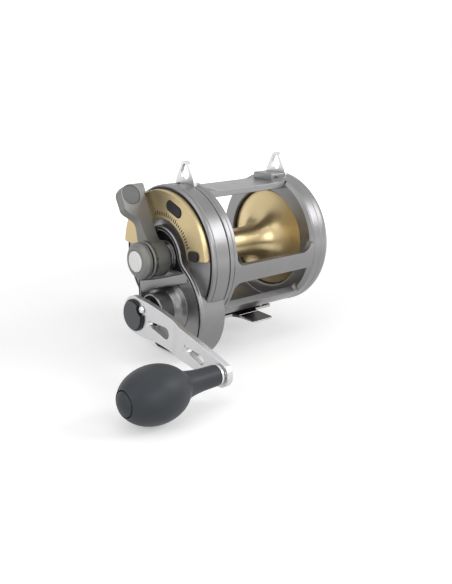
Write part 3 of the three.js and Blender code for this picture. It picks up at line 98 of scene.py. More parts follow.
FIT = 0.3
EPS = 1.0
FRAME_HALF = corner("frame", 1).x
FRAME_R = 50.0
BAR_INNER_R = 45.2
BORE_R = 37.0
LEFT_WINDOW = -34.0
RIGHT_WINDOW = 39.0
WINDOWS = (
    # start and end angle, corner radii at the start (left, right) and at the end (left, right)
    (-2.5, 193.0, 10.0, 6.0, 5.0, 5.0),
    (217.0, 242.0, 4.0, 4.0, 4.0, 4.0),
    (-45.5, -17.1, 4.0, 4.0, 1.5, 6.0),
)
BAR_ROOTS = ((-17.1, 4.0), (193.0, 217.0), (242.0, 314.5))
TOP_BAR = (-12.0, 20.0)
TOP_BAR_TOP = FRAME_R - 4.6
TOP_BAR_LOW = FRAME_R - 9.3
RING_BEVEL = 2.4
RIM_STEPS = 144
RIM_STEP = 360 / RIM_STEPS
SEAM = corner("handle_side_plate", 0).x
DRUM_FACE = corner("drag_dial", 0).x - FIT
DIAL_FACE = corner("drag_dial", 1).x
DIAL_R = (26.9, 46.9)
DIAL_ENDS = (4.5, 175.5)
CASE_X = DRUM_FACE - 3.4
FLOOR_FACE = DRUM_FACE + 1.6
RIDGE_FACE = DRUM_FACE + 6.1
HUB_RIDGE_R = 22.5
LOBE_R = 39.0
LOBE_FLATS = (
    # direction from the crank axis, and reach
    (180, 34.2), (235, 34.2), (268, 33.4), (207.5, 37.6),
)
RIDGE_FILLET = 12.0
RIDGE_WIDTH = 3.6
DRUM_SPACE_R = 44.5
GEAR_SPACE_R = LOBE_R - 7.4
TUBE_END = DRUM_FACE + 19.0
LUG_SCREW = (1, 47.4)
TAPPED_R = 1.5
BEARING_SEAT_R = 9.2
SPINDLE_R = 3.3
BUTTON_R = 38.0
BUTTON_ANGLE = 68.5
LEVER_ANGLE = 116.0
LEVER_X = corner("drag_lever", 0).x + 3.1
LEVER_REACH = 53.6
LEVER_DEPTH = 10.0
LEVER_HEAD_END = corner("drag_lever", 1).x
LEVER_HUB_END = LEVER_X + 13.4
HEAD_HALF = 4.0
PAD_R = 6.8
PAD_X = LEVER_X + 10.8
PAD_REACH = LEVER_REACH - 7.6
PRESET_X = corner("preset_knob", 0).x
PRESET_END = corner("preset_knob", 1).x
PRESET_R = 12.9
ARM_X = corner("crank_arm", 0).x
ARM_FACE = ARM_X + 4.3
ARM_JOG = corner("crank_arm", 1).x - ARM_FACE
ARM_HUB_R = 13.4
ARM_END_R = 8.6
COLLAR_X = corner("knob_collar", 0).x
KNOB_X = corner("knob", 0).x
KNOB_TIP = corner("knob_end_cap", 1).x
KNOB_HALF = 23.5
KNOB_R = 17.6
KNOB_CENTRE = KNOB_TIP - KNOB_HALF
KNOB_CAP_R = 7.6
CAP_X = corner("left_side_cap", 1).x
CAP_FACE = CAP_X - 12.5
CAP_SCREW_R = 45.4
CAP_SCREW_ANGLES = (45, 165, 285)
CLICK_Z = 29.0
FOOT_TOP = corner("reel_foot", 1).z
FOOT_SCREWS = ((-22, -8), (-22, 8), (22, -8), (22, 8))
FRAME_SCREW_ANGLES = (-12, 62, 160)


# ---- outlines -----------------------------------------------------------------------------


def polar(r, degrees):
    """The place at a radius and an angle from +Y towards +Z."""
    return r * math.cos(math.radians(degrees)), r * math.sin(math.radians(degrees))


def beside(axis, place):
    """A place measured from an axis, in the shared frame."""
    return axis[0] + place[0], axis[1] + place[1]


STOP_PLACE = polar(35.6, 10.0)
NUT_SCREW = polar(11.2, 32)


def arc(centre, r, start, end, steps):
    """Points on an arc in a plane, both ends included."""
    found = []
    for i in range(steps + 1):
        found.append(beside(centre, polar(r, start + (end - start) * i / steps)))
    return found


def bezier(a, b, c, d, steps):
    """Points on a cubic curve, without its first."""
    found = []
    for i in range(1, steps + 1):
        t = i / steps
        k = ((1 - t) ** 3, 3 * t * (1 - t) ** 2, 3 * t * t * (1 - t), t**3)
        found.append(tuple(sum(w * p[n] for w, p in zip(k, (a, b, c, d))) for n in (0, 1)))
    return found


def rounded(points, closed=False, steps=4):
    """A path with rounded corners: a point's third number is the length cut off at its corner."""
    found = []
    count = len(points)
    for i, p in enumerate(points):
        here = Vector(p[:2])
        cut = p[2] if len(p) > 2 else 0
        if not cut or (not closed and i in (0, count - 1)):
            found.append(tuple(here))
            continue
        before = Vector(points[i - 1][:2]) - here
        after = Vector(points[(i + 1) % count][:2]) - here
        start = here + before.normalized() * min(cut, before.length * 0.49)
        end = here + after.normalized() * min(cut, after.length * 0.49)
        for n in range(steps + 1):
            t = n / steps
            found.append(tuple(start * (1 - t) ** 2 + here * 2 * t * (1 - t) + end * t * t))
    return found


def swung(points, degrees):
    """An outline in the Y-Z plane turned about its origin."""
    c, s = polar(1, degrees)
    return [(y * c - z * s, y * s + z * c) for y, z in points]


def sector(inner, outer, start, end, steps):
    """Part of a ring, from one angle to another."""
    return arc((0, 0), outer, start, end, steps) + arc((0, 0), inner, end, start, steps)


def teardrop(start, start_r, end, end_r, steps=12):
    """A slot with round ends of two radii."""
    along = math.degrees(math.atan2(end[1] - start[1], end[0] - start[0]))
    length = math.hypot(end[0] - start[0], end[1] - start[1])
    tilt = math.degrees(math.acos((start_r - end_r) / length))
    first = arc(start, start_r, along + tilt, along - tilt + 360, steps)
    return first + arc(end, end_r, along - tilt, along + tilt, steps)


def case_outline(inset, steps=28):
    """The gear case's outline: a hub circle and a lobe circle joined by hollow fillets, inset."""
    hub, lobe, fillet = HUB_RIDGE_R - inset, LOBE_R - inset, RIDGE_FILLET + inset
    along = ((hub + fillet) ** 2 - (lobe + fillet) ** 2 + CENTRES**2) / (2 * CENTRES)
    across = math.sqrt((hub + fillet) ** 2 - along**2)
    hub_turn = math.degrees(math.atan2(-along, across))
    lobe_turn = math.degrees(math.atan2(CENTRES - along, across))
    points = arc((0, -CENTRES), lobe, 180 - lobe_turn, 360 + lobe_turn, 2 * steps)
    points += arc((across, -along), fillet, lobe_turn + 180, hub_turn + 180, steps // 2)[1:-1]
    points += arc((0, 0), hub, hub_turn, 180 - hub_turn, steps)
    points += arc((-across, -along), fillet, -hub_turn, -lobe_turn, steps // 2)[1:-1]
    return flattened(swung(points, CRANK_ANGLE + 90), inset)


def flattened(points, inset):
    """An outline drawn in to the lobe's flats."""
    found = []
    for point in points:
        y, z = point[0] - CRANK_Y, point[1] - CRANK_Z
        for angle, reach in LOBE_FLATS:
            a, b = polar(1, angle)
            over = max(0.0, y * a + z * b - reach + inset)
            y, z = y - over * a, z - over * b
        found.append((y + CRANK_Y, z + CRANK_Z))
    return found


# ---- modelling ----------------------------------------------------------------------------


def clear():
    """Object mode, with nothing selected."""
    if bpy.context.mode != "OBJECT":
        bpy.ops.object.mode_set(mode="OBJECT")
    bpy.ops.object.select_all(action="DESELECT")


def take(piece):
    """Object mode, with one piece selected and active."""
    clear()
    piece.select_set(True)
    bpy.context.view_layer.objects.active = piece


def named(piece, name):
    """Gives a piece and its mesh their name."""
    piece.name = name
    piece.data.name = name
    return piece


def joined(name, parts):
    """Several objects made into one."""
    clear()
    for part in parts:
        part.select_set(True)
    bpy.context.view_layer.objects.active = parts[0]
    bpy.ops.object.join()
    return named(bpy.context.object, name)


def edit(piece, kind="VERT"):
    """Edit mode on a piece, with nothing selected."""
    take(piece)
    bpy.ops.object.mode_set(mode="EDIT")
    bpy.ops.mesh.select_mode(type=kind)
    bpy.ops.mesh.select_all(action="DESELECT")


def choose(piece, kind, test):
    """Selects the vertices, edges or faces whose middle, in millimetres, passes a test."""
    made = bmesh.from_edit_mesh(piece.data)
    parts = {"VERT": made.verts, "EDGE": made.edges, "FACE": made.faces}[kind]
    for part in parts:
        if kind == "VERT":
            place = part.co
        elif kind == "EDGE":
            place = (part.verts[0].co + part.verts[1].co) / 2
        else:
            place = part.calc_center_median()
        part.select_set(bool(test(place / MM)))
    made.select_flush_mode()
    bmesh.update_edit_mesh(piece.data)


def draw(name, places):
    """A line of vertices, extruded from place to place."""
    clear()
    bpy.ops.mesh.primitive_plane_add(size=MM, location=places[0])
    piece = named(bpy.context.object, name)
    bpy.ops.object.transform_apply(location=True, rotation=True, scale=True)
    bpy.ops.object.mode_set(mode="EDIT")
    bpy.ops.mesh.select_mode(type="VERT")
    bpy.ops.mesh.select_all(action="SELECT")
    bpy.ops.mesh.merge(type="CENTER")
    for before, after in zip(places, places[1:]):
        bpy.ops.mesh.extrude_vertices_move(TRANSFORM_OT_translate={"value": after - before})
    return piece


def close_up():
    """Merges what coincides and turns every face outwards."""
    bpy.ops.mesh.select_all(action="SELECT")
    bpy.ops.mesh.remove_doubles(threshold=0.002 * MM)
    bpy.ops.mesh.normals_make_consistent(inside=False)
    bpy.ops.object.mode_set(mode="OBJECT")


def spun(piece, centre, axis, steps):
    """Spins a drawn line once round an axis, into a closed solid."""
    bpy.ops.mesh.select_all(action="SELECT")
    bpy.ops.mesh.spin(steps=steps, angle=FULL_TURN, center=centre, axis=axis, use_auto_merge=False)
    close_up()
    return piece


def lathe(name, profile, axis=SPOOL_AXIS, steps=96):
    """A profile of [x, radius] spun about an axis along X."""
    y, z = axis
    line = draw(name, [Vector((x, y + r, z)) * MM for x, r in profile])
    return spun(line, (0, y * MM, z * MM), (1, 0, 0), steps)


def turned(name, profile, axis=SPOOL_AXIS, steps=96):
    """An open profile with rounded corners, spun into a solid."""
    path = rounded(profile)
    return lathe(name, path, axis, steps)


def rod(name, x0, x1, r, axis=SPOOL_AXIS, steps=96):
    """A plain cylinder along X."""
    return lathe(name, [(x0, 0), (x0, r), (x1, r), (x1, 0)], axis, steps)


def hoop(name, profile, axis=SPOOL_AXIS, steps=96):
    """A closed profile with rounded corners, spun into a ring."""
    path = rounded(profile, closed=True)
    return lathe(name, path + path[:1], axis, steps)


def upright(name, profile, x, y, steps=32):
    """A profile of [z, radius] spun about a vertical axis."""
    line = draw(name, [Vector((x + r, y, z)) * MM for z, r in profile])
    return spun(line, (x * MM, y * MM, 0), (0, 0, 1), steps)


def close_line(piece):
    """Joins the two ends of a drawn line."""
    bpy.ops.mesh.select_all(action="DESELECT")
    made = bmesh.from_edit_mesh(piece.data)
    for vertex in made.verts:
        if len(vertex.link_edges) == 1:
            vertex.select_set(True)
    bmesh.update_edit_mesh(piece.data)
    bpy.ops.mesh.edge_face_add()


def fill(piece):
    """Closes a drawn line into one face."""
    close_line(piece)
    bpy.ops.mesh.select_all(action="SELECT")
    bpy.ops.mesh.edge_face_add()


def extruded(piece, way):
    """Fills a drawn line and carries its face some way, into a closed solid."""
    fill(piece)
    bpy.ops.mesh.extrude_region_move(TRANSFORM_OT_translate={"value": way})
    close_up()
    return piece


def slab(name, outline, x0, x1, axis=SPOOL_AXIS):
    """An outline in the Y-Z plane, filled and extruded along X."""
    line = draw(name, [Vector((x0, *beside(axis, p))) * MM for p in outline])
    return extruded(line, ((x1 - x0) * MM, 0, 0))


def sheet_metal(name, outline, z0, z1):
    """An outline in the X-Y plane, filled and extruded upwards."""
    line = draw(name, [Vector((*p, z0)) * MM for p in outline])
    return extruded(line, (0, 0, (z1 - z0) * MM))


def loft(name, loops):
    """Closed loops of places, bridged one to the next and filled at both ends."""

    def known(place):
        return tuple(round(c, 7) for c in place)

    parts = []
    for i, places in enumerate(loops):
        parts.append(draw(f"{name}_{i}", places))
        at_end = i in (0, len(loops) - 1)
        (fill if at_end else close_line)(parts[-1])
    piece = joined(name, parts)
    for lower, upper in zip(loops, loops[1:]):
        edit(piece, "VERT")
        pair = {known(place) for place in (*lower, *upper)}
        made = bmesh.from_edit_mesh(piece.data)
        for vertex in made.verts:
            vertex.select_set(known(vertex.co) in pair)
        made.select_mode = {"EDGE"}
        made.select_flush_mode()
        for edge in made.edges:
            is_open = len(edge.link_faces) < 2
            edge.select_set(is_open and all(known(v.co) in pair for v in edge.verts))
        bmesh.update_edit_mesh(piece.data)
        bpy.ops.mesh.select_mode(type="EDGE")
        bpy.ops.mesh.bridge_edge_loops()
    close_up()
    return piece


def block(name, x, y, z, axis=SPOOL_AXIS):
    """A box between two places on each axis, y and z measured from a turning axis."""
    clear()
    y = [v + axis[0] for v in y]
    z = [v + axis[1] for v in z]
    bpy.ops.mesh.primitive_cube_add(size=MM, location=[sum(v) / 2 * MM for v in (x, y, z)])
    piece = named(bpy.context.object, name)
    bpy.ops.transform.resize(value=[v[1] - v[0] for v in (x, y, z)])
    bpy.ops.object.transform_apply(location=True, rotation=True, scale=True)
    return piece


def apply_modifier(piece, kind, **settings):
    """Adds a modifier with its settings, and applies it."""
    take(piece)
    modifier = piece.modifiers.new(kind.lower(), kind)
    for name, value in settings.items():
        setattr(modifier, name, value)
    bpy.ops.object.modifier_apply(modifier=modifier.name)


def combine(piece, other, operation):
    """A boolean of a piece with another solid, which it uses up."""
    apply_modifier(piece, "BOOLEAN", object=other, operation=operation, solver="EXACT")
    bpy.data.objects.remove(other)
    return piece


def add(piece, other):
    return combine(piece, other, "UNION")


def cut(piece, other):
    return combine(piece, other, "DIFFERENCE")


def drill(piece, x0, x1, r, place=(0, 0), steps=32, axis=SPOOL_AXIS):
    """A round hole along X."""
    return cut(piece, rod("drill", x0, x1, r, beside(axis, place), steps))


def soften(piece, width, steps=3, sharpness=40, test=None):
    """Bevels the sharp edges of a piece, all or those whose middle passes a test."""
    edit(piece, "EDGE")
    bpy.ops.mesh.edges_select_sharp(sharpness=math.radians(sharpness))
    if test:
        made = bmesh.from_edit_mesh(piece.data)
        for edge in made.edges:
            if edge.select and not test((edge.verts[0].co + edge.verts[1].co) / (2 * MM)):
                edge.select_set(False)
        bmesh.update_edit_mesh(piece.data)
    bpy.ops.mesh.bevel(
        offset=width * MM, segments=steps, profile=0.5, clamp_overlap=True, affect="EDGES"
    )
    bpy.ops.object.mode_set(mode="OBJECT")
    return piece


def shade(piece, angle=38):
    """Smooth faces up to an angle, weighted so that flat faces stay flat."""
    take(piece)
    bpy.ops.object.shade_smooth_by_angle(angle=math.radians(angle))
    apply_modifier(piece, "WEIGHTED_NORMAL", keep_sharp=True, weight=60)


def fit_out(piece, finish, body, *nodes, angle=38):
    """Shades a piece, gives it its finish, and hangs it on its body in place of CAD nodes."""
    shade(piece, angle)
    piece.data.materials.clear()
    piece.data.materials.append(finishes()[finish])
    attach(piece, body)
    if nodes:
        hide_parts(*nodes)
    return piece


# ---- finishes -----------------------------------------------------------------------------


def node(tree, kind, inputs=None, **settings):
    """A shader node with its settings, and its inputs linked or set."""
    made = tree.nodes.new(kind)
    for name, value in settings.items():
        setattr(made, name, value)
    for name, value in (inputs or {}).items():
        if isinstance(value, bpy.types.NodeSocket):
            tree.links.new(value, made.inputs[name])
        else:
            made.inputs[name].default_value = value
    return made


def maths(tree, operation, *values):
    """The result of a Math node on numbers or sockets."""
    made = node(tree, "ShaderNodeMath", dict(enumerate(values)), operation=operation)
    return made.outputs["Value"]


def ranged(tree, value, start=(0.0, 1.0), end=(0.0, 1.0), **settings):
    """A value carried from one range to another."""
    inputs = {"Value": value, "From Min": start[0], "From Max": start[1]}
    inputs.update({"To Min": end[0], "To Max": end[1]})
    return node(tree, "ShaderNodeMapRange", inputs, **settings).outputs["Result"]


def noise(tree, scale, detail, place=None):
    """Noise in the object's own space, or at another place."""
    inputs = {"Vector": place or object_place(tree), "Scale": scale, "Detail": detail}
    return node(tree, "ShaderNodeTexNoise", inputs).outputs["Fac"]


def object_place(tree):
    """Where a shaded point lies in the object's own space."""
    return tree.nodes.new("ShaderNodeTexCoord").outputs["Object"]


def build_grain(tree, given):
    """Fine pits of a blasted casting or a moulded skin, and slow clouds over them."""
    clouds = noise(tree, given["Cloud Scale"], 4.0)
    return {
        "Height": noise(tree, given["Fineness"], 3.0), "Clouds": ranged(tree, clouds, (0.3, 0.7))
    }


def build_wear(tree, given):
    """Where a worn edge shows: convex corners, broken up by noise."""
    point = tree.nodes.new("ShaderNodeNewGeometry").outputs["Pointiness"]
    edge = ranged(tree, point, (given["Start"], given["Full"]))
    broken = ranged(tree, noise(tree, 420.0, 3.0), (0.35, 0.6), (0.55, 1.0))
    return {"Mask": maths(tree, "MULTIPLY", edge, broken)}


def build_turning(tree, given):
    """Fine tool marks round an axis along X, on faces and on round sides alike."""
    places = {0: object_place(tree), 1: given["Centre"]}
    centred = node(tree, "ShaderNodeVectorMath", places, operation="SUBTRACT").outputs["Vector"]
    split = node(tree, "ShaderNodeSeparateXYZ", {"Vector": centred}).outputs
    flat = node(tree, "ShaderNodeCombineXYZ", {"Y": split["Y"], "Z": split["Z"]}).outputs["Vector"]
    radius = node(tree, "ShaderNodeVectorMath", {0: flat}, operation="LENGTH").outputs["Value"]
    along = maths(tree, "ADD", radius, split["X"])
    inputs = {"W": along, "Scale": given["Fineness"], "Detail": 2.0}
    lines = node(tree, "ShaderNodeTexNoise", inputs, noise_dimensions="1D")
    return {"Height": lines.outputs["Fac"]}


def build_brushing(tree, given):
    """Fine straight scratches, stretched along one direction."""
    inputs = {"Vector": object_place(tree), "Rotation": given["Turn"], "Scale": given["Stretch"]}
    place = node(tree, "ShaderNodeMapping", inputs).outputs["Vector"]
    return {"Height": noise(tree, 900.0, 3.0, place)}


EFFECTS = {
    # name: inputs with their defaults, outputs, and the function that builds it
    "surface_grain": ({"Fineness": 5000.0, "Cloud Scale": 60.0}, ("Height", "Clouds"), build_grain),
    "edge_wear": ({"Start": 0.52, "Full": 0.62}, ("Mask",), build_wear),
    "turning_marks": ({"Centre": (0, 0, 0), "Fineness": 3000.0}, ("Height",), build_turning),
    "brush_marks": ({"Turn": (0, 0, 0), "Stretch": (1, 1, 1)}, ("Height",), build_brushing),
}


def effect(name):
    """A shader node group that finishes share, built the first time it is asked for."""
    if name in bpy.data.node_groups:
        return bpy.data.node_groups[name]
    inputs, outputs, build = EFFECTS[name]
    tree = bpy.data.node_groups.new(name, "ShaderNodeTree")
    for label, default in inputs.items():
        kind = "NodeSocketFloat" if isinstance(default, float) else "NodeSocketVector"
        socket = tree.interface.new_socket(label, in_out="INPUT", socket_type=kind)
        socket.default_value = default
    for label in outputs:
        tree.interface.new_socket(label, in_out="OUTPUT", socket_type="NodeSocketFloat")
    start = tree.nodes.new("NodeGroupInput")
    end = tree.nodes.new("NodeGroupOutput")
    for label, socket in build(tree, start.outputs).items():
        tree.links.new(socket, end.inputs[label])
    return tree


def placed(tree, name, values):
    """An effect's outputs in a material, with its own values."""
    made = tree.nodes.new("ShaderNodeGroup")
    made.node_tree = effect(name)
    for label, value in values.items():
        made.inputs[label].default_value = value
    return made.outputs


def blend_colour(tree, factor, first, second):
    """A colour between two colours or sockets."""
    made = node(tree, "ShaderNodeMix", {0: factor, 6: first, 7: second}, data_type="RGBA")
    return made.outputs[2]


def shaded(colour, amount):
    """A colour made lighter or darker."""
    return (*[min(1.0, c * amount) for c in colour[:3]], 1.0)


def bumped(tree, height, relief, under=None):
    """A normal raised by a height, over another normal where there is one."""
    inputs = {"Height": height, "Distance": relief * MM}
    if under is not None:
        inputs["Normal"] = under
    return node(tree, "ShaderNodeBump", inputs).outputs["Normal"]


CLOUD_SCALE = 70.0
WEAR_START, WEAR_FULL = 0.54, 0.66


def make_finish(
    name, colour, metallic, roughness, clouds=0.03, fineness=5000.0, relief=0.004, worn=None,
    turning=None, brushing=None, marks=0.006, specular=0.5, sheen=0.0,
):
    """A material: clouded colour and roughness, grain, tool marks and worn edges on one shader."""
    material = bpy.data.materials.new(name)
    material.use_nodes = True
    tree = material.node_tree
    tree.nodes.clear()
    grain = placed(tree, "surface_grain", {"Fineness": fineness, "Cloud Scale": CLOUD_SCALE})
    darker, lighter = shaded(colour, 1 - clouds), shaded(colour, 1 + clouds)
    tone = blend_colour(tree, grain["Clouds"], darker, lighter)
    spread = max(0.02, roughness * 0.86), min(1.0, roughness * 1.16)
    rough = ranged(tree, grain["Clouds"], end=spread)
    if worn:
        edges = placed(tree, "edge_wear", {"Start": WEAR_START, "Full": WEAR_FULL})["Mask"]
        tone = blend_colour(tree, edges, tone, worn)
        rough = maths(tree, "MULTIPLY_ADD", edges, -0.35 * roughness, rough)
    normal = bumped(tree, grain["Height"], relief)
    if turning:
        y, z, lines = turning
        values = {"Centre": (0, y * MM, z * MM), "Fineness": lines}
        normal = bumped(tree, placed(tree, "turning_marks", values)["Height"], marks, normal)
    if brushing:
        values = {"Turn": brushing[0], "Stretch": brushing[1]}
        normal = bumped(tree, placed(tree, "brush_marks", values)["Height"], marks, normal)
    inputs = {
        "Base Color": tone, "Roughness": rough, "Metallic": metallic, "Sheen Weight": sheen,
        "Sheen Roughness": 0.4, "Specular IOR Level": specular, "Normal": normal,
    }
    shader = node(tree, "ShaderNodeBsdfPrincipled", inputs)
    node(tree, "ShaderNodeOutputMaterial", {"Surface": shader.outputs["BSDF"]})
    return material


def finishes():
    """One material for each finish slot, made the first time it is asked for."""
    if "frame_grey" in bpy.data.materials and bpy.data.materials["frame_grey"].get("reel"):
        return bpy.data.materials
    for old in list(bpy.data.materials):
        old.name = f"cad_{old.name}"
    paint = bpy.context.scene.reel_colours
    casting, lever, gold = paint.casting, paint.lever, paint.gold
    alloy, steel, black, rubber = paint.alloy, paint.steel, paint.black, paint.rubber
    white = (0.92, 0.92, 0.92, 1.0)
    spool_turning = (*SPOOL_AXIS, 5200.0)
    made = (
        make_finish("frame_grey", casting, 0.92, 0.33, fineness=4200.0),
        make_finish(
            "lever_grey", lever, 0.75, 0.48, worn=shaded(lever, 1.3), fineness=3600.0, relief=0.006
        ),
        make_finish(
            "pad_grey", (0.14, 0.142, 0.145, 1.0), 0.3, 0.55, fineness=3000.0, relief=0.01,
            specular=0.3,
        ),
        make_finish("dark_alloy", (0.085, 0.09, 0.095, 1.0), 0.9, 0.36, worn=(0.2, 0.2, 0.21, 1.0)),
        make_finish(
            "gold_anodised", gold, 0.9, 0.36, worn=shaded(gold, 1.35), turning=spool_turning,
            marks=0.003,
        ),
        make_finish(
            "polished_gold", shaded(gold, 1.3), 0.9, 0.33, worn=shaded(gold, 1.6), relief=0.002,
            turning=spool_turning, marks=0.002,
        ),
        make_finish(
            "bright_alloy", alloy, 0.85, 0.3, worn=shaded(alloy, 1.3), relief=0.002,
            brushing=((math.radians(ARM_ANGLE), 0, 0), (1.0, 0.06, 1.0)), marks=0.004,
        ),
        make_finish(
            "silver_cap", (0.72, 0.72, 0.71, 1.0), 0.3, 0.42, turning=(*SPOOL_AXIS, 4000.0),
            marks=0.004,
        ),
        make_finish(
            "polished_steel", steel, 1.0, 0.18, clouds=0.06, worn=shaded(steel, 1.4), relief=0.002
        ),
        make_finish(
            "chrome_trim", (0.72, 0.72, 0.72, 1.0), 1.0, 0.09, worn=white, relief=0.001,
            turning=(*CRANK_AXIS, 3000.0), marks=0.001,
        ),
        make_finish(
            "black_plastic", black, 0.0, 0.38, clouds=0.15, fineness=3000.0, relief=0.006,
            specular=0.25,
        ),
        make_finish(
            "black_rubber", shaded(black, 0.6), 0.0, 0.7, clouds=0.15, fineness=3000.0,
            specular=0.1,
        ),
        make_finish(
            "soft_grip", rubber, 0.0, 0.5, clouds=0.05, fineness=2600.0, relief=0.012,
            worn=shaded(rubber, 1.3), sheen=0.05, specular=0.4,
        ),
        make_finish("gear_bronze", (0.5, 0.36, 0.16, 1.0), 1.0, 0.34, worn=(0.7, 0.55, 0.32, 1.0)),
        make_finish(
            "drag_carbon", (0.03, 0.03, 0.032, 1.0), 0.1, 0.55, clouds=0.3, fineness=1800.0
        ),
        make_finish(
            "inner_steel", (0.42, 0.42, 0.42, 1.0), 1.0, 0.3, worn=white, turning=spool_turning,
            marks=0.003,
        ),
    )
    for material in made:
        material["reel"] = True
    return bpy.data.materials


# ---- pieces -------------------------------------------------------------------------------


def build_frame():
    """One-piece frame: two rings joined by four bars, with rounded window corners."""
    body = hoop(
        "reel_frame",
        [
            (-FRAME_HALF, BORE_R, 0.6), (-FRAME_HALF, FRAME_R, 0.7), (-37.2, FRAME_R),
            (-36.9, FRAME_R - 0.35), (-36.3, FRAME_R - 0.35), (-36.0, FRAME_R), (41.2, FRAME_R),
            (41.5, FRAME_R - 0.4), (42.0, FRAME_R - 0.4), (42.3, FRAME_R),
            (FRAME_HALF, FRAME_R, 0.7), (FRAME_HALF, BORE_R, 0.6), (RIGHT_WINDOW, BORE_R, 1.2),
            (RIGHT_WINDOW, BAR_INNER_R, 0.8), (LEFT_WINDOW, BAR_INNER_R, 0.8),
            (LEFT_WINDOW, BORE_R, 1.6),
        ],
        steps=RIM_STEPS,
    )
    for window in WINDOWS:
        cut(body, window_cutter(*window))
    bevel = hoop(
        "ring_bevel",
        [
            (LEFT_WINDOW - RING_BEVEL, 51), (LEFT_WINDOW - RING_BEVEL, FRAME_R),
            (LEFT_WINDOW, FRAME_R - RING_BEVEL), (LEFT_WINDOW + 0.5, FRAME_R - RING_BEVEL),
            (LEFT_WINDOW + 0.5, 51),
        ],
        steps=RIM_STEPS,
    )
    x = LEFT_WINDOW - 8, LEFT_WINDOW + 1
    for start, end in BAR_ROOTS:
        steps = max(6, round((end - start) / RIM_STEP))
        cut(bevel, slab("bar", sector(40, 53, start, end, steps), *x))
    cut(bevel, block("bar", x, TOP_BAR, (20, 60)))
    cut(body, bevel)
    add(body, top_bar())
    for side in (-1, 1):
        near, far = (RIGHT_WINDOW, FRAME_HALF) if side > 0 else (-FRAME_HALF, -FRAME_HALF + 16)
        pad = block("lug_seat", (near, far), (-9, 11), (TOP_BAR_TOP - 2, FRAME_R + 0.6))
        soften(pad, 0.9, steps=3)
        add(body, pad)
        inner = FRAME_HALF - 2.7
        pocket = sorted((side * inner, side * (FRAME_HALF + EPS)))
        cut(body, block("lug_pocket", pocket, (-9.8, 11.8), (44.1, 60)))
        hole = sorted((side * (FRAME_HALF - 5.6), side * (FRAME_HALF + EPS)))
        drill(body, *hole, TAPPED_R, LUG_SCREW, steps=16)
    cut(body, block("foot_seat", (-29.3, 29.3), (-60, 60), (-60, -FRAME_R + FIT)))
    seat = FOOT_TOP - 0.7 - SPOOL_AXIS[1]
    z = SPOOL_AXIS[1] + seat
    for x, y in FOOT_SCREWS:
        cut(body, upright("screw_hole", [(z, 0), (z, 1.8), (z + 5, 1.8), (z + 5, 0)], x, y, 16))
    for angle in FRAME_SCREW_ANGLES:
        place = polar(47.1, angle)
        drill(body, RIGHT_WINDOW - EPS, FRAME_HALF + EPS, 1.8, place, steps=20)
        drill(body, RIGHT_WINDOW - EPS, RIGHT_WINDOW + 2.2, 2.6, place, steps=24)
    for angle in CAP_SCREW_ANGLES:
        drill(body, -FRAME_HALF - EPS, -FRAME_HALF + 6, 1.8, polar(CAP_SCREW_R, angle), steps=20)
    return fit_out(body, "frame_grey", "reel_body", "frame")


def window_cutter(start, end, *radii):
    """Window between two bars, with a rounded corner at each end of each bar."""
    steps = max(8, round((end - start) / RIM_STEP))
    opening = slab("window", sector(43.5, 52, start, end, steps), LEFT_WINDOW, RIGHT_WINDOW)
    corners = [(edge, way, side) for edge, way in ((start, 1), (end, -1)) for side in (-1, 1)]
    for (edge, way, side), r in zip(corners, radii):
        ring_face = RIGHT_WINDOW if side > 0 else LEFT_WINDOW
        x = sorted((ring_face - side * r, ring_face + side))
        z = sorted((0, -way * (r + 0.6)))
        corner = block("corner", x, (40, 54), z)
        clear()
        bpy.ops.mesh.primitive_cylinder_add(
            vertices=64, radius=r * MM, depth=30 * MM, rotation=(math.pi / 2, 0, 0),
            location=Vector((ring_face - side * r, SPOOL_AXIS[0] + 47, SPOOL_AXIS[1])) * MM,
        )
        cut(corner, bpy.context.object)
        take(corner)
        turn = math.radians(edge) + way * r / FRAME_R
        bpy.ops.object.mode_set(mode="EDIT")
        bpy.ops.mesh.select_all(action="SELECT")
        bpy.ops.transform.rotate(
            value=-turn, orient_axis="X", center_override=Vector((0, *SPOOL_AXIS)) * MM
        )
        bpy.ops.object.mode_set(mode="OBJECT")
        cut(opening, corner)
    return opening


def top_bar():
    """Flat bar under the harness lugs, whose top rises to the rings at both ends."""
    left, right = LEFT_WINDOW - RING_BEVEL - 0.5, RIGHT_WINDOW + 0.5
    side = [
        (left, TOP_BAR_LOW), (right, TOP_BAR_LOW), (right, TOP_BAR_TOP + 2.8),
        (right - 7, TOP_BAR_TOP, 12), (LEFT_WINDOW + 7, TOP_BAR_TOP, 12),
        (LEFT_WINDOW - 1, TOP_BAR_TOP + 2.8), (left, TOP_BAR_TOP + 2.8),
    ]
    y, z = SPOOL_AXIS
    path = rounded(side, closed=True, steps=6)
    line = draw("top_bar", [Vector((x, y + TOP_BAR[0], z + h)) * MM for x, h in path])
    bar = extruded(line, (0, (TOP_BAR[1] - TOP_BAR[0]) * MM, 0))
    soften(bar, 0.5, steps=3, sharpness=50, test=lambda p: p.y > TOP_BAR[1] - 0.1)
    rim = FRAME_R - 0.05
    return combine(bar, rod("round", left, right, rim, steps=RIM_STEPS), "INTERSECT")


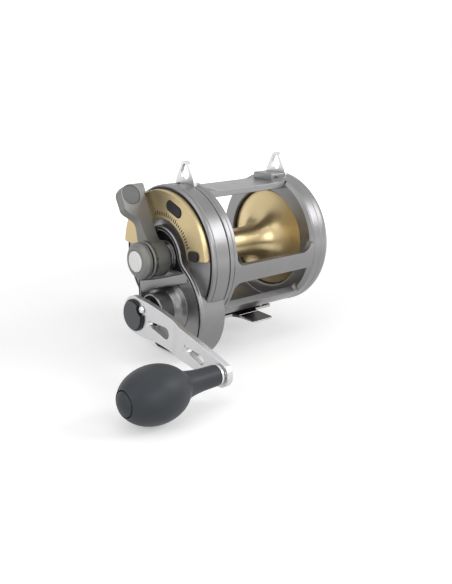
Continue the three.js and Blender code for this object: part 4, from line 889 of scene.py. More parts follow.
def build_lug(side, name, node_name):
    """Harness lug: a stamped eye that stands on the frame's rim."""
    half, crown = 10.5, 5.0
    top = FRAME_R + 16
    outline = rounded(
        [
            (1 - half, 44.4, 0.8), (1 + half, 44.4, 0.8), (1 + half, FRAME_R + 1.5, 3),
            (1 + crown, top - crown, 0.6),
        ]
    )[:-1]
    outline += arc((1, top - crown - 0.6), crown, 15, 165, 16)
    outline += rounded(
        [(1 - crown, top - crown), (1 - half, FRAME_R + 1.5, 3), (1 - half, 44.4)]
    )[1:]
    x = sorted((side * (FRAME_HALF - 2.4), side * FRAME_HALF))
    lug = slab(name, outline, *x)
    eye = teardrop((1, FRAME_R + 6.4), 4.2, (1, FRAME_R + 10.6), 2.4, 16)
    cut(lug, slab("eye", eye, x[0] - EPS, x[1] + EPS))
    drill(lug, x[0] - EPS, x[1] + EPS, TAPPED_R, LUG_SCREW, steps=20)
    soften(lug, 0.45, steps=3)
    return fit_out(lug, "bright_alloy", "reel_body", node_name)


def build_lug_screw(side, name, node_name):
    """Round-headed screw that holds a lug, with a slot across its head."""
    head = SEAM + 2.6
    profile = rounded(
        [
            (FRAME_HALF - 5, 0), (FRAME_HALF - 5, 1.2), (head, 1.2), (head, 2.5, 0.2),
            (head + 1, 2.2, 0.5), (head + 1.5, 0),
        ]
    )
    centre = beside(SPOOL_AXIS, LUG_SCREW)
    screw = lathe(name, [(side * x, r) for x, r in profile], centre, 32)
    x = sorted((side * (head + 0.9), side * (head + 3)))
    cut(screw, block("slot", x, (-3, 3), (-0.3, 0.3), centre))
    return fit_out(screw, "polished_steel", "reel_body", node_name)


def build_foot():
    """Stamped reel foot: a plate under the frame and a tongue with thinned ends."""
    half_plate, half_length, root, tongue = 13.0, 35.5, 12.0, 9.5
    quarter = [
        (29.0, 0.0), (29.0, half_plate, 2.0), (root, half_plate, 1.0),
        (tongue, half_plate + 5, 2.5), (tongue, half_length, 3.0), (0.0, half_length),
    ]
    front = rounded(quarter)
    outline = front + [(-x, y) for x, y in reversed(front[:-1])]
    outline += [(-x, -y) for x, y in front[1:]] + [(x, -y) for x, y in reversed(front[1:-1])]
    foot = sheet_metal("stamped_foot", outline, 0, FOOT_TOP)
    for side in (-1, 1):
        wedge = block("ramp", (-root, root), sorted((side * 19, side * 45)), (2, 8), (0, 0))
        edit(wedge, "VERT")
        choose(wedge, "VERT", lambda p: abs(p.y) > 40 and p.z < 5)
        bpy.ops.transform.translate(value=(0, 0, -1.5 * MM))
        bpy.ops.object.mode_set(mode="OBJECT")
        cut(foot, wedge)
    soften(foot, 0.35, steps=3, sharpness=30)
    profile = [(-1, 0), (-1, 3.1), (0.3, 3.1), (1.6, 1.8), (3, 1.8), (3, 0)]
    for x, y in FOOT_SCREWS:
        cut(foot, upright("countersink", profile, x, y))
    return fit_out(foot, "polished_steel", "reel_body", "reel_foot")


def button_outline(grow):
    """The strike button's oblong outline, lying along the dial."""
    y, z = polar(BUTTON_R, BUTTON_ANGLE)
    dy, dz = polar(4.6, BUTTON_ANGLE - 90)
    return teardrop((y - dy, z - dz), 3.8 + grow, (y + dy, z + dz), 3.8 + grow - 0.001, 14)


def build_side_plate():
    """Handle side plate: drum, gear-case lobe, double ridge, crank tube and hood, hollow inside."""
    sizes = bpy.context.scene.reel_sizes
    groove = sizes.ridge_groove / MM
    body = turned(
        "side_plate_casting",
        [
            (SEAM, 0), (SEAM, 49.2, 0.2), (SEAM + 0.7, FRAME_R, 0.3), (56.6, FRAME_R, 0.2),
            (56.9, FRAME_R - 0.5), (57.5, FRAME_R - 0.5), (57.8, FRAME_R - 0.1, 0.2),
            (59.5, FRAME_R - 0.25, 0.9), (DRUM_FACE, 48.9, 0.7), (DRUM_FACE, 48.2, 0.2),
            (DRUM_FACE - 2.4, 48.0), (DRUM_FACE - 2.4, 46.5), (DRUM_FACE, 46.4), (DRUM_FACE, 0),
        ],
        steps=RIM_STEPS,
    )
    circle = arc((CRANK_Y, CRANK_Z), LOBE_R, 0, 360 - RIM_STEP, RIM_STEPS - 1)
    lobe = slab("lobe", flattened(circle, 0), SEAM, RIDGE_FACE - 1.0)
    soften(lobe, 2.0, steps=4, sharpness=60, test=lambda p: p.x > RIDGE_FACE - 1.1)
    add(body, lobe)
    ridge = slab("ridge", case_outline(0.3), CASE_X + EPS, RIDGE_FACE)
    soften(ridge, 1.0, steps=4, sharpness=60, test=lambda p: p.x > RIDGE_FACE - 0.1)
    add(body, ridge)
    middle = (RIDGE_WIDTH + 0.3) / 2
    channel = slab("channel", case_outline(middle - groove / 2), RIDGE_FACE - 2.2, RIDGE_FACE + EPS)
    cut(channel, slab("core", case_outline(middle + groove / 2), RIDGE_FACE - 4, RIDGE_FACE + 3))
    cut(body, channel)
    cut(body, slab("well", case_outline(RIDGE_WIDTH), FLOOR_FACE, RIDGE_FACE + EPS))
    tube = turned(
        "tube",
        [
            (CASE_X + EPS, 0), (CASE_X + EPS, 19.0), (FLOOR_FACE + 0.4, 19.0, 0.3),
            (FLOOR_FACE + 2.2, 15.0, 1.2), (FLOOR_FACE + 5.6, 12.7, 0.8),
            (FLOOR_FACE + 6.2, 12.0, 0.3), (TUBE_END - 0.8, 12.0, 0.4), (TUBE_END, 11.2, 0.3),
            (TUBE_END, 0),
        ],
        CRANK_AXIS,
    )
    add(body, tube)
    add(body, shelf())
    low, high = CASE_X + EPS, FLOOR_FACE + 0.6
    add(body, turned("boss", [(low, 0), (low, 11.5), (high, 11.5, 0.4), (high, 0)], steps=64))
    cut(body, rod("drum_space", SEAM - EPS, CASE_X, DRUM_SPACE_R))
    cut(body, rod("gear_space", SEAM - EPS, CASE_X, GEAR_SPACE_R, CRANK_AXIS))
    drill(body, CASE_X - EPS, RIDGE_FACE, 7.2, steps=48)
    drill(body, CASE_X - EPS, CASE_X + 4.3, BEARING_SEAT_R, steps=48)
    drill(body, CASE_X - EPS, TUBE_END + EPS, 8.3, (0, 0), 64, CRANK_AXIS)
    cut(body, slab("button_pocket", button_outline(FIT), CASE_X + EPS, DRUM_FACE + EPS))
    cut(body, slab("screw_way", lug_way(), SEAM + 2.3, SEAM + 6.7))
    drill(body, SEAM - EPS, SEAM + 3.3, TAPPED_R, LUG_SCREW, 20)
    drill(body, CASE_X + 0.7, DRUM_FACE + EPS, 1.9, STOP_PLACE, 20)
    return fit_out(body, "frame_grey", "reel_body", "handle_side_plate", angle=32)


def lug_way():
    """Round-bottomed notch in a rim, open outwards, where a lug screw's head lies."""
    return arc(LUG_SCREW, 3, 180, 360, 14) + [(4, FRAME_R + 2), (-2, FRAME_R + 2)]


def shelf():
    """Slanting hood over the crank tube, from the ridge out to a tip beside the lever's hub."""
    root, end, low = CASE_X + EPS, TUBE_END + 0.5, FLOOR_FACE + 0.6
    tip = [(end, -13.4, 18.9), (end - 0.7, -11.8, 10.8), (root, -19, 10), (root, -19, 18.4)]
    middle = [(end - 10.3, 5.9, 24.2), (end - 10.3, 6.1, 17.4), (root, 1, 13.6), (root, 1, 19)]
    far = [(low, 19, 28), (low, 19.4, 20.2), (root, 19.4, 20.2), (root, 19, 28)]
    y, z = CRANK_AXIS
    loops = [[Vector((p[0], p[1] + y, p[2] + z)) * MM for p in loop] for loop in (tip, middle, far)]
    return soften(loft("hood", loops), 0.9, steps=4, sharpness=30)


def build_well_shade_sheet():
    """Black sheet on the gear case's floor round the lever's hub: painted shade for the well, which
    lies in shadow.
    """
    shade_sheet = slab(
        "well_liner", case_outline(RIDGE_WIDTH + 0.15), FLOOR_FACE - 0.3, FLOOR_FACE + 0.25
    )
    # The sheet stops at the hood's upper edge, so the painted shade covers only the shadowed well
    # above it.
    cut(shade_sheet, block("below", (50, 80), (-60, 60), (-90, -8.5)))
    drill(shade_sheet, FLOOR_FACE - 2, FLOOR_FACE + 2, 9.0, steps=48)
    return fit_out(shade_sheet, "black_rubber", "reel_body")


def build_dial():
    """Gold dial plate in an arc under the lever, with a chamfered rim."""
    outline = rounded_sector(*DIAL_R, *DIAL_ENDS)
    dial = slab("dial_plate", outline, DRUM_FACE + FIT, DIAL_FACE)
    soften(dial, 0.95, steps=2, sharpness=60, test=lambda p: p.x > DIAL_FACE - 0.1)
    cut(dial, slab("pocket", button_outline(FIT), DRUM_FACE, DIAL_FACE + EPS))
    drill(dial, DRUM_FACE, DIAL_FACE + EPS, 1.9, STOP_PLACE, 20)
    return fit_out(dial, "gold_anodised", "reel_body", "drag_dial", angle=30)


def rounded_sector(inner, outer, start, end):
    """A sector of a ring whose four corners are rounded."""
    turn = 1.6
    points = arc((0, 0), outer, start + turn, end - turn, 72)
    points += [polar(outer - 0.35, end - 0.45), polar(outer - 1.3, end)]
    points += [polar(inner + 1.3, end), polar(inner + 0.35, end - 0.8)]
    points += arc((0, 0), inner, end - 2.6, start + 2.6, 60)
    points += [polar(inner + 0.35, start + 0.8), polar(inner + 1.3, start)]
    points += [polar(outer - 1.3, start), polar(outer - 0.35, start + 0.45)]
    return points


def build_dial_marks():
    """Short engraved strokes on the dial, one for each step of the drag."""
    sizes = bpy.context.scene.reel_sizes
    first, last = 21, 103
    inner, half = 29.2, 0.4
    marks = []
    for i in range(sizes.mark_count):
        angle = first + (last - first) * i / (sizes.mark_count - 1)
        outer = inner + (3.2 if i % 5 == 0 else 2.5)
        stroke = swung([(inner, -half), (outer, -half), (outer, half), (inner, half)], angle)
        marks.append(slab(f"mark_{i}", stroke, DIAL_FACE - 0.1, DIAL_FACE + 0.05))
    return fit_out(joined("dial_marks", marks), "black_plastic", "reel_body")


def build_button():
    """Oblong strike button with a dished top."""
    top = corner("strike_button", 1).x
    button = slab("strike_push", button_outline(0), DRUM_FACE - 0.4, top - 0.4)
    edit(button, "FACE")
    choose(button, "FACE", lambda p: p.x > top - 0.5)
    bpy.ops.mesh.inset(thickness=0.5 * MM, depth=0.4 * MM)
    bpy.ops.mesh.inset(thickness=0.5 * MM, depth=0)
    bpy.ops.mesh.inset(thickness=0.5 * MM, depth=-0.25 * MM)
    bpy.ops.object.mode_set(mode="OBJECT")
    soften(button, 0.15, steps=2, sharpness=35)
    return fit_out(button, "black_plastic", "strike", "strike_button")


def build_stop():
    """Rounded block that the lever meets at full drag, on its peg."""
    y, z = STOP_PLACE
    x = DIAL_FACE + FIT, DIAL_FACE + 1.9
    stop = block("end_stop", x, (y - 4.6, y + 4.6), (z - 3.5, z + 3.5))
    soften(stop, 2.6, steps=5, test=lambda p: abs(p.x - (DIAL_FACE + 1.1)) < 0.3)
    soften(stop, 0.8, steps=3, sharpness=60, test=lambda p: p.x > DIAL_FACE + 1.8)
    peg = rod("peg", CASE_X + 1, DIAL_FACE + 0.5, 1.6, beside(SPOOL_AXIS, STOP_PLACE), 24)
    add(stop, peg)
    return fit_out(stop, "black_plastic", "reel_body", "lever_end_stop")


def across_lever(name, profile, low, high):
    """A profile of [x, distance from the axis], carried across the lever."""
    along = Vector((0, *polar(1, LEVER_ANGLE)))
    across = Vector((0, *polar(1, LEVER_ANGLE - 90)))
    start = Vector((0, *SPOOL_AXIS)) + across * low
    line = draw(name, [(start + Vector((x, 0, 0)) + along * r) * MM for x, r in profile])
    return extruded(line, across * (high - low) * MM)


def build_lever():
    """Drag lever: hub, waisted arm and a thick head that leans out over the dial."""
    front, end, heel = LEVER_X + LEVER_DEPTH, LEVER_HEAD_END, LEVER_X - 1.7
    profile = [
        (LEVER_X, -2), (front, -2), (front, 27.8, 3.5), (end - 0.3, 35.2, 2.6), (end, 49.0, 3.0),
        (end - 5.6, LEVER_REACH, 2.4), (heel, LEVER_REACH, 1.4), (heel, DIAL_R[1] - 1, 0.5),
        (LEVER_X, DIAL_R[1] - 1),
    ]
    outline = [
        (-7.6, -2), (7.6, -2), (5.2, 13, 6), (HEAD_HALF, 22, 5), (HEAD_HALF, LEVER_REACH + 1),
        (-HEAD_HALF, LEVER_REACH + 1), (-HEAD_HALF, 34, 4), (-3.5, 24, 5), (-6.2, 15, 4),
    ]
    lever = across_lever("lever_casting", rounded(profile, closed=True, steps=5), -9, 9)
    shape = swung(rounded(outline, closed=True, steps=6), LEVER_ANGLE - 90)
    combine(lever, slab("front", shape, heel - EPS, end + EPS), "INTERSECT")
    soften(lever, 1.0, steps=4, sharpness=35)
    cut(lever, across_lever("seat", pad_circle(0.3), HEAD_HALF - 1.2, HEAD_HALF + EPS))
    hub = turned(
        "hub",
        [
            (LEVER_X - 3.1, 0), (LEVER_X - 3.1, 9.6, 0.3), (LEVER_X, 9.6), (LEVER_X, 13.0, 0.5),
            (LEVER_HUB_END - 1.0, 13.0, 0.6), (LEVER_HUB_END, 12.0, 0.4), (LEVER_HUB_END, 0),
        ],
    )
    add(lever, hub)
    drill(lever, LEVER_X - 4, LEVER_HUB_END + EPS, SPINDLE_R)
    start, stop = LEVER_X + LEVER_DEPTH + 0.3, LEVER_HUB_END - 1.1
    band = hoop("hub_band", [(start, 12.8), (start, 13.06), (stop, 13.06), (stop, 12.8)])
    fit_out(band, "dark_alloy", "lever", angle=30)
    return fit_out(lever, "lever_grey", "lever", "drag_lever", angle=40)


def pad_circle(grow):
    """The thumb pad's outline along the lever's side."""
    return arc((PAD_X, PAD_REACH), PAD_R + grow, 0, 355, 71)


def build_pad():
    """Round thumb pad let into the leading face of the lever's head."""
    pad = across_lever("thumb_pad", pad_circle(0), HEAD_HALF - 1.4, HEAD_HALF - 0.15)
    edit(pad, "FACE")
    across = Vector((0, *polar(1, LEVER_ANGLE - 90)))
    level = Vector((0, *SPOOL_AXIS)).dot(across) + HEAD_HALF - 0.2
    choose(pad, "FACE", lambda p: p.dot(across) > level)
    bpy.ops.mesh.inset(thickness=0.35 * MM, depth=0.2 * MM)
    bpy.ops.object.mode_set(mode="OBJECT")
    return fit_out(pad, "pad_grey", "lever", "lever_pad", angle=30)


def build_preset():
    """Preset knob with a chamfered rim, its pale disc and the dark ring behind it."""
    seat = PRESET_END - 1.6
    knob = hoop(
        "preset_dial",
        [
            (PRESET_X, 3.3), (PRESET_X, 11.9, 0.2), (PRESET_X + 1.0, PRESET_R, 0.4),
            (PRESET_END - 2.6, PRESET_R, 0.5), (PRESET_END - 0.5, 10.9, 0.5),
            (PRESET_END, 9.6, 0.4), (PRESET_END, 7.8, 0.2), (seat, 7.8), (seat, 3.3),
        ],
    )
    fit_out(knob, "lever_grey", "preset", "preset_knob", angle=30)
    end = corner("preset_knob_cap", 1).x
    disc = turned(
        "preset_disc",
        [(seat + 0.3, 0), (seat + 0.3, 7.5), (end - 0.5, 7.5, 0.3), (end, 6.7, 0.5), (end, 0)],
        steps=72,
    )
    fit_out(disc, "silver_cap", "preset", "preset_knob_cap", angle=30)
    ring = hoop(
        "preset_ring",
        [
            (LEVER_HUB_END + 0.05, 9.0), (LEVER_HUB_END + 0.05, 12.2, 0.1),
            (PRESET_X - 0.05, 12.2, 0.1), (PRESET_X - 0.05, 9.0),
        ],
        steps=72,
    )
    return fit_out(ring, "black_rubber", "preset")


def build_sleeve():
    """Bright sleeve between the crank tube and the arm."""
    start, end = corner("crank_sleeve", 0).x, corner("crank_sleeve", 1).x
    sleeve = hoop(
        "bright_sleeve",
        [
            (start, 4.9), (start, 8.2, 0.2), (start + 0.6, 8.7, 0.3), (end - 2.6, 8.7, 0.1),
            (end - 2.4, 8.2, 0.1), (end - 1.9, 8.2, 0.1), (end - 1.7, 8.7, 0.1),
            (end - 0.4, 8.7, 0.2), (end, 8.3, 0.1), (end, 4.9),
        ],
        CRANK_AXIS,
    )
    fit_out(sleeve, "chrome_trim", "crank", "crank_sleeve", angle=30)
    x0, x1 = TUBE_END - 0.9, TUBE_END + 0.35
    ring = hoop(
        "tube_end_ring", [(x0, 8.5), (x0, 10.9), (x1, 10.9, 0.3), (x1, 8.9, 0.1), (x1 - 0.3, 8.5)],
        CRANK_AXIS,
    )
    return fit_out(ring, "black_rubber", "reel_body", angle=30)


def arm_outline():
    """Outline of the crank arm, drawn along +Y from the crank axis."""
    hub, end, far = ARM_HUB_R, ARM_END_R, ARM_LENGTH
    points = arc((0, 0), hub, 80, 262, 36)
    points += bezier(points[-1], (14, -hub), (20, -9.2), (34, -9), 14)
    points += bezier(points[-1], (52, -8.6), (70, -8), (far - 2, -end), 14)
    points += arc((far, 0), end, -100, 62, 28)[1:]
    points += bezier(points[-1], (74, 10.6), (60, 12.4), (32, 14), 16)
    points += bezier(points[-1], (20, 14.6), (10, 14.2), (3, hub), 12)
    return points


def build_arm():
    """Crank arm: a bright plate with two tapered slots, joggled outwards half way."""
    arm = slab("crank_plate", swung(arm_outline(), ARM_ANGLE), ARM_X, ARM_FACE, CRANK_AXIS)
    for tapered in (((17.2, 0.6), 1.8, (34.4, 1.2), 4.0), ((61.6, 1.6), 1.8, (74, 0.8), 3.2)):
        slot = swung(teardrop(*tapered, 14), ARM_ANGLE)
        cut(arm, slab("slot", slot, ARM_X - EPS, ARM_FACE + EPS, CRANK_AXIS))
    knob_place = polar(ARM_LENGTH, ARM_ANGLE)
    drill(arm, ARM_X - EPS, ARM_FACE + EPS, SPINDLE_R, knob_place, 32, CRANK_AXIS)
    drill(arm, ARM_X - EPS, ARM_FACE + EPS, 4.9, (0, 0), 48, CRANK_AXIS)
    soften(arm, 0.6, steps=3, sharpness=50)
    drill(arm, ARM_X + 1.4, ARM_FACE + EPS, 8.2, (0, 0), 48, CRANK_AXIS)
    drill(arm, ARM_X + 0.8, ARM_FACE + EPS, TAPPED_R, NUT_SCREW, 16, CRANK_AXIS)
    dimple = swung([(58.2, 3.4)], ARM_ANGLE)[0]
    drill(arm, ARM_FACE - 0.45, ARM_FACE + EPS, 0.9, dimple, 16, CRANK_AXIS)
    way = Vector((0, *polar(1, ARM_ANGLE)))
    centre = Vector((0, *CRANK_AXIS))
    start, run, steps = ARM_LENGTH * 0.44, 11.0, 6
    edit(arm, "FACE")
    for i in range(steps + 1):
        bpy.ops.mesh.select_all(action="SELECT")
        place = (centre + way * (start + run * i / steps)) * MM
        bpy.ops.mesh.bisect(plane_co=place, plane_no=way, threshold=0.0001 * MM)
    bpy.ops.mesh.select_mode(type="VERT")
    for i in range(steps):
        share = [(n / steps) ** 2 * (3 - 2 * n / steps) for n in (i, i + 1)]
        edge = start + run * (i + 0.5) / steps
        choose(arm, "VERT", lambda p: (p - centre).dot(way) > edge)
        bpy.ops.transform.translate(value=((share[1] - share[0]) * ARM_JOG * MM, 0, 0))
    bpy.ops.object.mode_set(mode="OBJECT")
    return fit_out(arm, "bright_alloy", "crank", "crank_arm", angle=30)


def build_nut_cap():
    """Cover over the handle nut: a dark disc set off-centre on a black disc, whose crescent is
    painted shade of the gap round the recessed cover; both are notched for its screw.
    """
    x0, x1 = corner("nut_cap", 0).x, corner("nut_cap", 1).x
    base = turned(
        "nut_cover_base", [(x0, 0), (x0, 11.2), (x0 + 0.9, 11.2, 0.3), (x0 + 0.9, 0)], CRANK_AXIS,
        72,
    )
    drill(base, x0 - EPS, x1 + EPS, 4.2, NUT_SCREW, 32, CRANK_AXIS)
    fit_out(base, "black_plastic", "crank")
    # Off-centre so that a crescent of the black disc, painted shade, shows along one side.
    centre = beside(CRANK_AXIS, (-1.0, -0.4))
    face = turned(
        "nut_cover",
        [(x0 + 0.7, 0), (x0 + 0.7, 10.0), (x1 - 0.1, 10.0, 0.3), (x1, 9.4, 0.4), (x1, 0)], centre,
        72,
    )
    drill(face, x0 - EPS, x1 + EPS, 4.6, NUT_SCREW, 32, CRANK_AXIS)
    fit_out(face, "dark_alloy", "crank", "nut_cap")
    top = corner("nut_cap_screw", 1).x
    place = beside(CRANK_AXIS, NUT_SCREW)
    screw = turned(
        "nut_cover_screw",
        [
            (ARM_X + 1, 0), (ARM_X + 1, 1.2), (x0, 1.2), (x0, 2.6, 0.2), (x0 + 0.9, 2.5, 0.5),
            (x0 + 1.8, 1.6, 0.8), (top, 0),
        ],
        place, 40,
    )
    drill(screw, top - 0.9, top + EPS, 0.7, (0, 0), 6, place)
    return fit_out(screw, "chrome_trim", "crank", "nut_cap_screw")


def egg_radius(x):
    """The grip's radius at a place along its axis."""
    return KNOB_R * math.sqrt(max(0, 1 - ((x - KNOB_CENTRE) / KNOB_HALF) ** 2))


def egg(start, end, steps):
    """Points along the grip's egg shape."""
    turn, last = (math.acos(max(-1, (KNOB_CENTRE - x) / KNOB_HALF)) for x in (start, end))
    turns = [turn + (last - turn) * i / steps for i in range(steps + 1)]
    places = [KNOB_CENTRE - KNOB_HALF * math.cos(turn) for turn in turns]
    return [(x, egg_radius(x)) for x in places]


def build_knob():
    """Soft grip, its end cap behind a fine seam, and the bright collar at its foot."""
    seam_width = bpy.context.scene.reel_sizes.knob_seam / MM
    seam = KNOB_CENTRE + KNOB_HALF * math.sqrt(1 - (KNOB_CAP_R / KNOB_R) ** 2)
    meet = KNOB_X + 22 + KNOB_HALF * 0.16
    neck = bezier(
        (KNOB_X + 0.5, 6.7), (KNOB_X + 12, 6.7), (KNOB_X + 18, 7.2),
        (meet - 1.2, egg_radius(meet) - 0.7), 22,
    )
    profile = [(KNOB_X, 3.3), (KNOB_X, 6.3), (KNOB_X + 0.15, 6.58), (KNOB_X + 0.5, 6.7)] + neck
    profile += [(meet - 0.7, egg_radius(meet) - 0.25), (meet - 0.2, egg_radius(meet) + 0.05)]
    profile += egg(meet + 0.4, seam - seam_width, 44)
    groove = KNOB_CAP_R + seam_width
    profile += [(seam - 0.3, groove + 0.05), (seam - 0.5, groove - 0.1), (seam - 2.6, groove - 0.1)]
    profile += [
        (seam - 2.6, 5.4), (KNOB_CENTRE - FIT, 5.4), (KNOB_CENTRE - FIT, 3.3), (KNOB_X, 3.3)
    ]
    fit_out(lathe("grip_body", profile, KNOB_AXIS, 128), "soft_grip", "knob", "knob", angle=40)
    cap = [
        (seam - 2.3, 0), (seam - 2.3, KNOB_CAP_R - 0.1), (seam - 0.35, KNOB_CAP_R - 0.1),
        (seam + 0.05, KNOB_CAP_R - 0.35),
    ]
    cap += egg(seam + 0.5, KNOB_TIP, 22)
    fit_out(lathe("grip_end", cap, KNOB_AXIS, 128), "soft_grip", "knob", "knob_end_cap", angle=40)
    end = corner("knob_collar", 1).x
    collar = hoop(
        "grip_collar",
        [
            (COLLAR_X, 3.3), (COLLAR_X, 5.9, 0.1), (COLLAR_X + 0.45, 5.9, 0.1),
            (COLLAR_X + 0.6, 6.7, 0.2), (end, 6.7, 0.25), (end, 3.3),
        ],
        KNOB_AXIS, 72,
    )
    return fit_out(collar, "chrome_trim", "crank", "knob_collar", angle=30)


def build_spool():
    """Gold spool: polished flanges that sweep down to a slim arbor."""
    left, right, rim = corner("spool", 0).x + 3, corner("spool", 1).x, 36.4
    left_face, right_face = left + 2.0, right - 2.0
    sweep = bezier(
        (left_face + 0.5, rim - 0.6), (left_face + 2.2, 26), (left_face + 3.4, 21.5),
        (left_face + 9, 16), 14,
    )
    sweep += bezier(
        sweep[-1], (left_face + 14, 12.4), (left_face + 20, 11), (left_face + 30, 11), 12
    )
    back = [(right_face - (x - left_face), r) for x, r in reversed(sweep)]
    profile = rounded(
        [
            (left - 3, 8.3), (left - 3, 13.0, 0.6), (left, 13.0), (left, rim, 0.7),
            (left_face, rim, 0.4),
        ]
    )[:-1]
    profile += [(left_face - 0.1, rim), (left_face + 0.3, rim - 0.25)] + sweep + back
    profile += [(right_face - 0.3, rim - 0.25), (right_face + 0.1, rim)]
    profile += rounded(
        [(right_face + 0.1, rim), (right, rim, 0.7), (right, 8.3), (right - 5, 8.3)]
    )[1:]
    profile += [(right - 5, 5.0), (left + 2, 5.0), (left + 2, 8.3), (left - 3, 8.3)]
    return fit_out(
        lathe("gold_spool", profile, steps=RIM_STEPS), "polished_gold", "spool", "spool", angle=30
    )


def build_left_cap():
    """Left side cap: a shallow turned dome with its bearing cap, click slot and three screws."""
    rim = FRAME_R + 0.3
    body = turned(
        "left_cover",
        [
            (CAP_X, 0), (CAP_X, rim - 0.7), (CAP_X - 0.7, rim, 0.3), (CAP_X - 5, rim, 1.0),
            (CAP_X - 8, rim - 1.2, 1.5), (CAP_X - 10.4, rim - 4, 1.5), (CAP_X - 11.8, rim - 9, 2.5),
            (CAP_FACE + 0.3, 31), (CAP_FACE + 0.75, 30.6), (CAP_FACE + 0.75, 29.9),
            (CAP_FACE + 0.2, 29.5), (CAP_FACE, 26, 1.0), (CAP_FACE, 0),
        ],
        steps=RIM_STEPS,
    )
    hollow = [
        (CAP_X + EPS, 0), (CAP_X + EPS, BORE_R + 3), (CAP_X - 6.4, BORE_R + 3),
        (CAP_X - 9, BORE_R - 2), (CAP_FACE + 2.6, 24), (CAP_FACE + 2.6, 0),
    ]
    cut(body, lathe("hollow", hollow))
    add(body, rod("inner_boss", CAP_FACE - 0.5, corner("spool", 0).x - 1, 7.5, steps=48))
    low, end = CAP_FACE + EPS, CAP_FACE - 2
    outer = [(low, 0), (low, 14.2), (CAP_FACE, 14.2, 0.4), (end, 13, 0.5), (end, 0)]
    add(body, turned("outer_boss", outer, steps=72))
    drill(body, CAP_FACE - 4, 0, 4.2)
    drill(body, CAP_FACE - 4, CAP_FACE + 0.4, BEARING_SEAT_R, steps=64)
    slot = (CAP_FACE - 3, CAP_FACE + 4.6), (-2.3, 2.3), (CLICK_Z - 6.3, CLICK_Z + 2.3)
    cut(body, block("click_slot", *slot))
    cut(body, slab("screw_way", lug_way(), CAP_X - 6.7, CAP_X - 2.3))
    drill(body, CAP_X - 3.3, CAP_X + EPS, TAPPED_R, LUG_SCREW, 20)
    for angle in CAP_SCREW_ANGLES:
        place = polar(CAP_SCREW_R, angle)
        drill(body, CAP_FACE - 5, CAP_X + EPS, 1.8, place, 24)
        drill(body, CAP_FACE - 5, CAP_X - 7.4, 3.2, place, 32)
    fit_out(body, "frame_grey", "reel_body", "left_side_cap", angle=32)
    face = corner("left_bearing_cap", 0).x
    bearing = turned(
        "bearing_cover",
        [
            (face + 2.7, 0), (face + 2.7, 8.8), (face + 1.2, 8.8, 0.4), (face + 0.2, 7.2, 0.5),
            (face, 6.2), (face + 0.4, 5.6, 0.2), (face + 0.4, 0),
        ],
        steps=72,
    )
    cut(bearing, block("coin_slot", (face - EPS, face + 1.2), (-5.2, 5.2), (-0.7, 0.7)))
    fit_out(bearing, "lever_grey", "reel_body", "left_bearing_cap", angle=30)
    for i, angle in enumerate(CAP_SCREW_ANGLES):
        centre = beside(SPOOL_AXIS, polar(CAP_SCREW_R, angle))
        head = CAP_X - 7.7
        profile = rounded(
            [
                (CAP_X + 5, 0), (CAP_X + 5, 1.5), (head, 1.5), (head, 2.8, 0.2),
                (CAP_X - 8.8, 2.8, 0.4), (CAP_X - 9.4, 2.0, 0.4), (CAP_X - 9.6, 0),
            ]
        )
        screw = lathe(f"cover_screw_{i + 1}", profile, centre, 32)
        slot = block("slot", (CAP_X - 12, CAP_X - 9.0), (-3.2, 3.2), (-0.35, 0.35), centre)
        cut(screw, slot)
        fit_out(screw, "polished_steel", "reel_body", f"left_cap_screw_{i + 1}")


def build_click_button():
    """Sliding click button with three grip grooves."""
    face = CAP_FACE - FIT
    button = block("click_slide", (face - 4, face), (-4.0, 4.0), (CLICK_Z - 4.5, CLICK_Z + 4.5))
    soften(button, 1.5, steps=4, test=lambda p: abs(p.y - SPOOL_AXIS[0]) > 3.9 or p.x < face - 3.9)
    for z in (-2.2, 0, 2.2):
        low, high = CLICK_Z + z - 0.45, CLICK_Z + z + 0.45
        cut(button, block("groove", (face - 6, face - 3.4), (-6, 6), (low, high)))
    inner = corner("click_button", 1).x
    add(button, block("stem", (face - 1, inner), (-2, 2), (CLICK_Z - 2, CLICK_Z + 2)))
    return fit_out(button, "black_plastic", "clicker", "click_button")


KEPT_NODES = {
    "polished_steel": """
        foot_screw_1 foot_screw_2 foot_screw_3 foot_screw_4 side_plate_screw_1 side_plate_screw_2
        side_plate_screw_3 bridge_screw_1 bridge_screw_2 handle_nut
    """,
    "inner_steel": """
        strike_spring pinion_bearing cam_ring disc_spring_1 disc_spring_2 spool_shaft
        spool_bearing_left spool_bearing_right crank_bearing_inner crank_bearing_outer drive_plate
        click_ratchet click_tongue crank_shaft anti_reverse_ratchet anti_reverse_pawl knob_spindle
    """,
    "dark_alloy": "bridge_plate",
    "gear_bronze": "pinion main_gear",
    "drag_carbon": "drag_washer",
    "black_rubber": "crank_tube_seal",
}


def dress_kept_nodes():
    """Gives the CAD nodes that stay in view, or behind the castings, their finishes."""
    made = finishes()
    for finish, names in KEPT_NODES.items():
        for name in names.split():
            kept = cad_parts[name]
            kept.data.materials.clear()
            kept.data.materials.append(made[finish])


# ---- stage --------------------------------------------------------------------------------

CAMERA_PLACE = Vector((0.3964, 0.4491, 0.1841))
CAMERA_TARGET = Vector((0.0062, 0.0, 0.0153))
CAMERA_LENS = 50.3
SENSOR_WIDTH = 36


def aim(thing, target):
    """Turns a camera or a lamp to look at a place."""
    way = Vector(target) - thing.location
    thing.rotation_euler = way.to_track_quat("-Z", "Y").to_euler()


def build_camera():
    """The camera, in front of the crank side and a little above it."""
    clear()
    bpy.ops.object.camera_add(location=CAMERA_PLACE)
    camera = bpy.context.object
    camera.name = "reel_camera"
    aim(camera, CAMERA_TARGET)
    camera.data.lens = CAMERA_LENS
    camera.data.sensor_width = SENSOR_WIDTH
    camera.data.dof.use_dof = False
    bpy.context.scene.camera = camera


FLOOR_SIZE = 16
FLOOR_GAP = 0.0004
FLOOR_TONES = (0.79, 0.79, 0.79, 1.0), (0.81, 0.81, 0.81, 1.0)
LIFT_REACH = 0.2, 0.7
LIFT = 0.34, 1.0
WHITE = (1, 1, 1, 1)
SOFT_STRENGTH, WHITE_STRENGTH = 0.5, 1.0


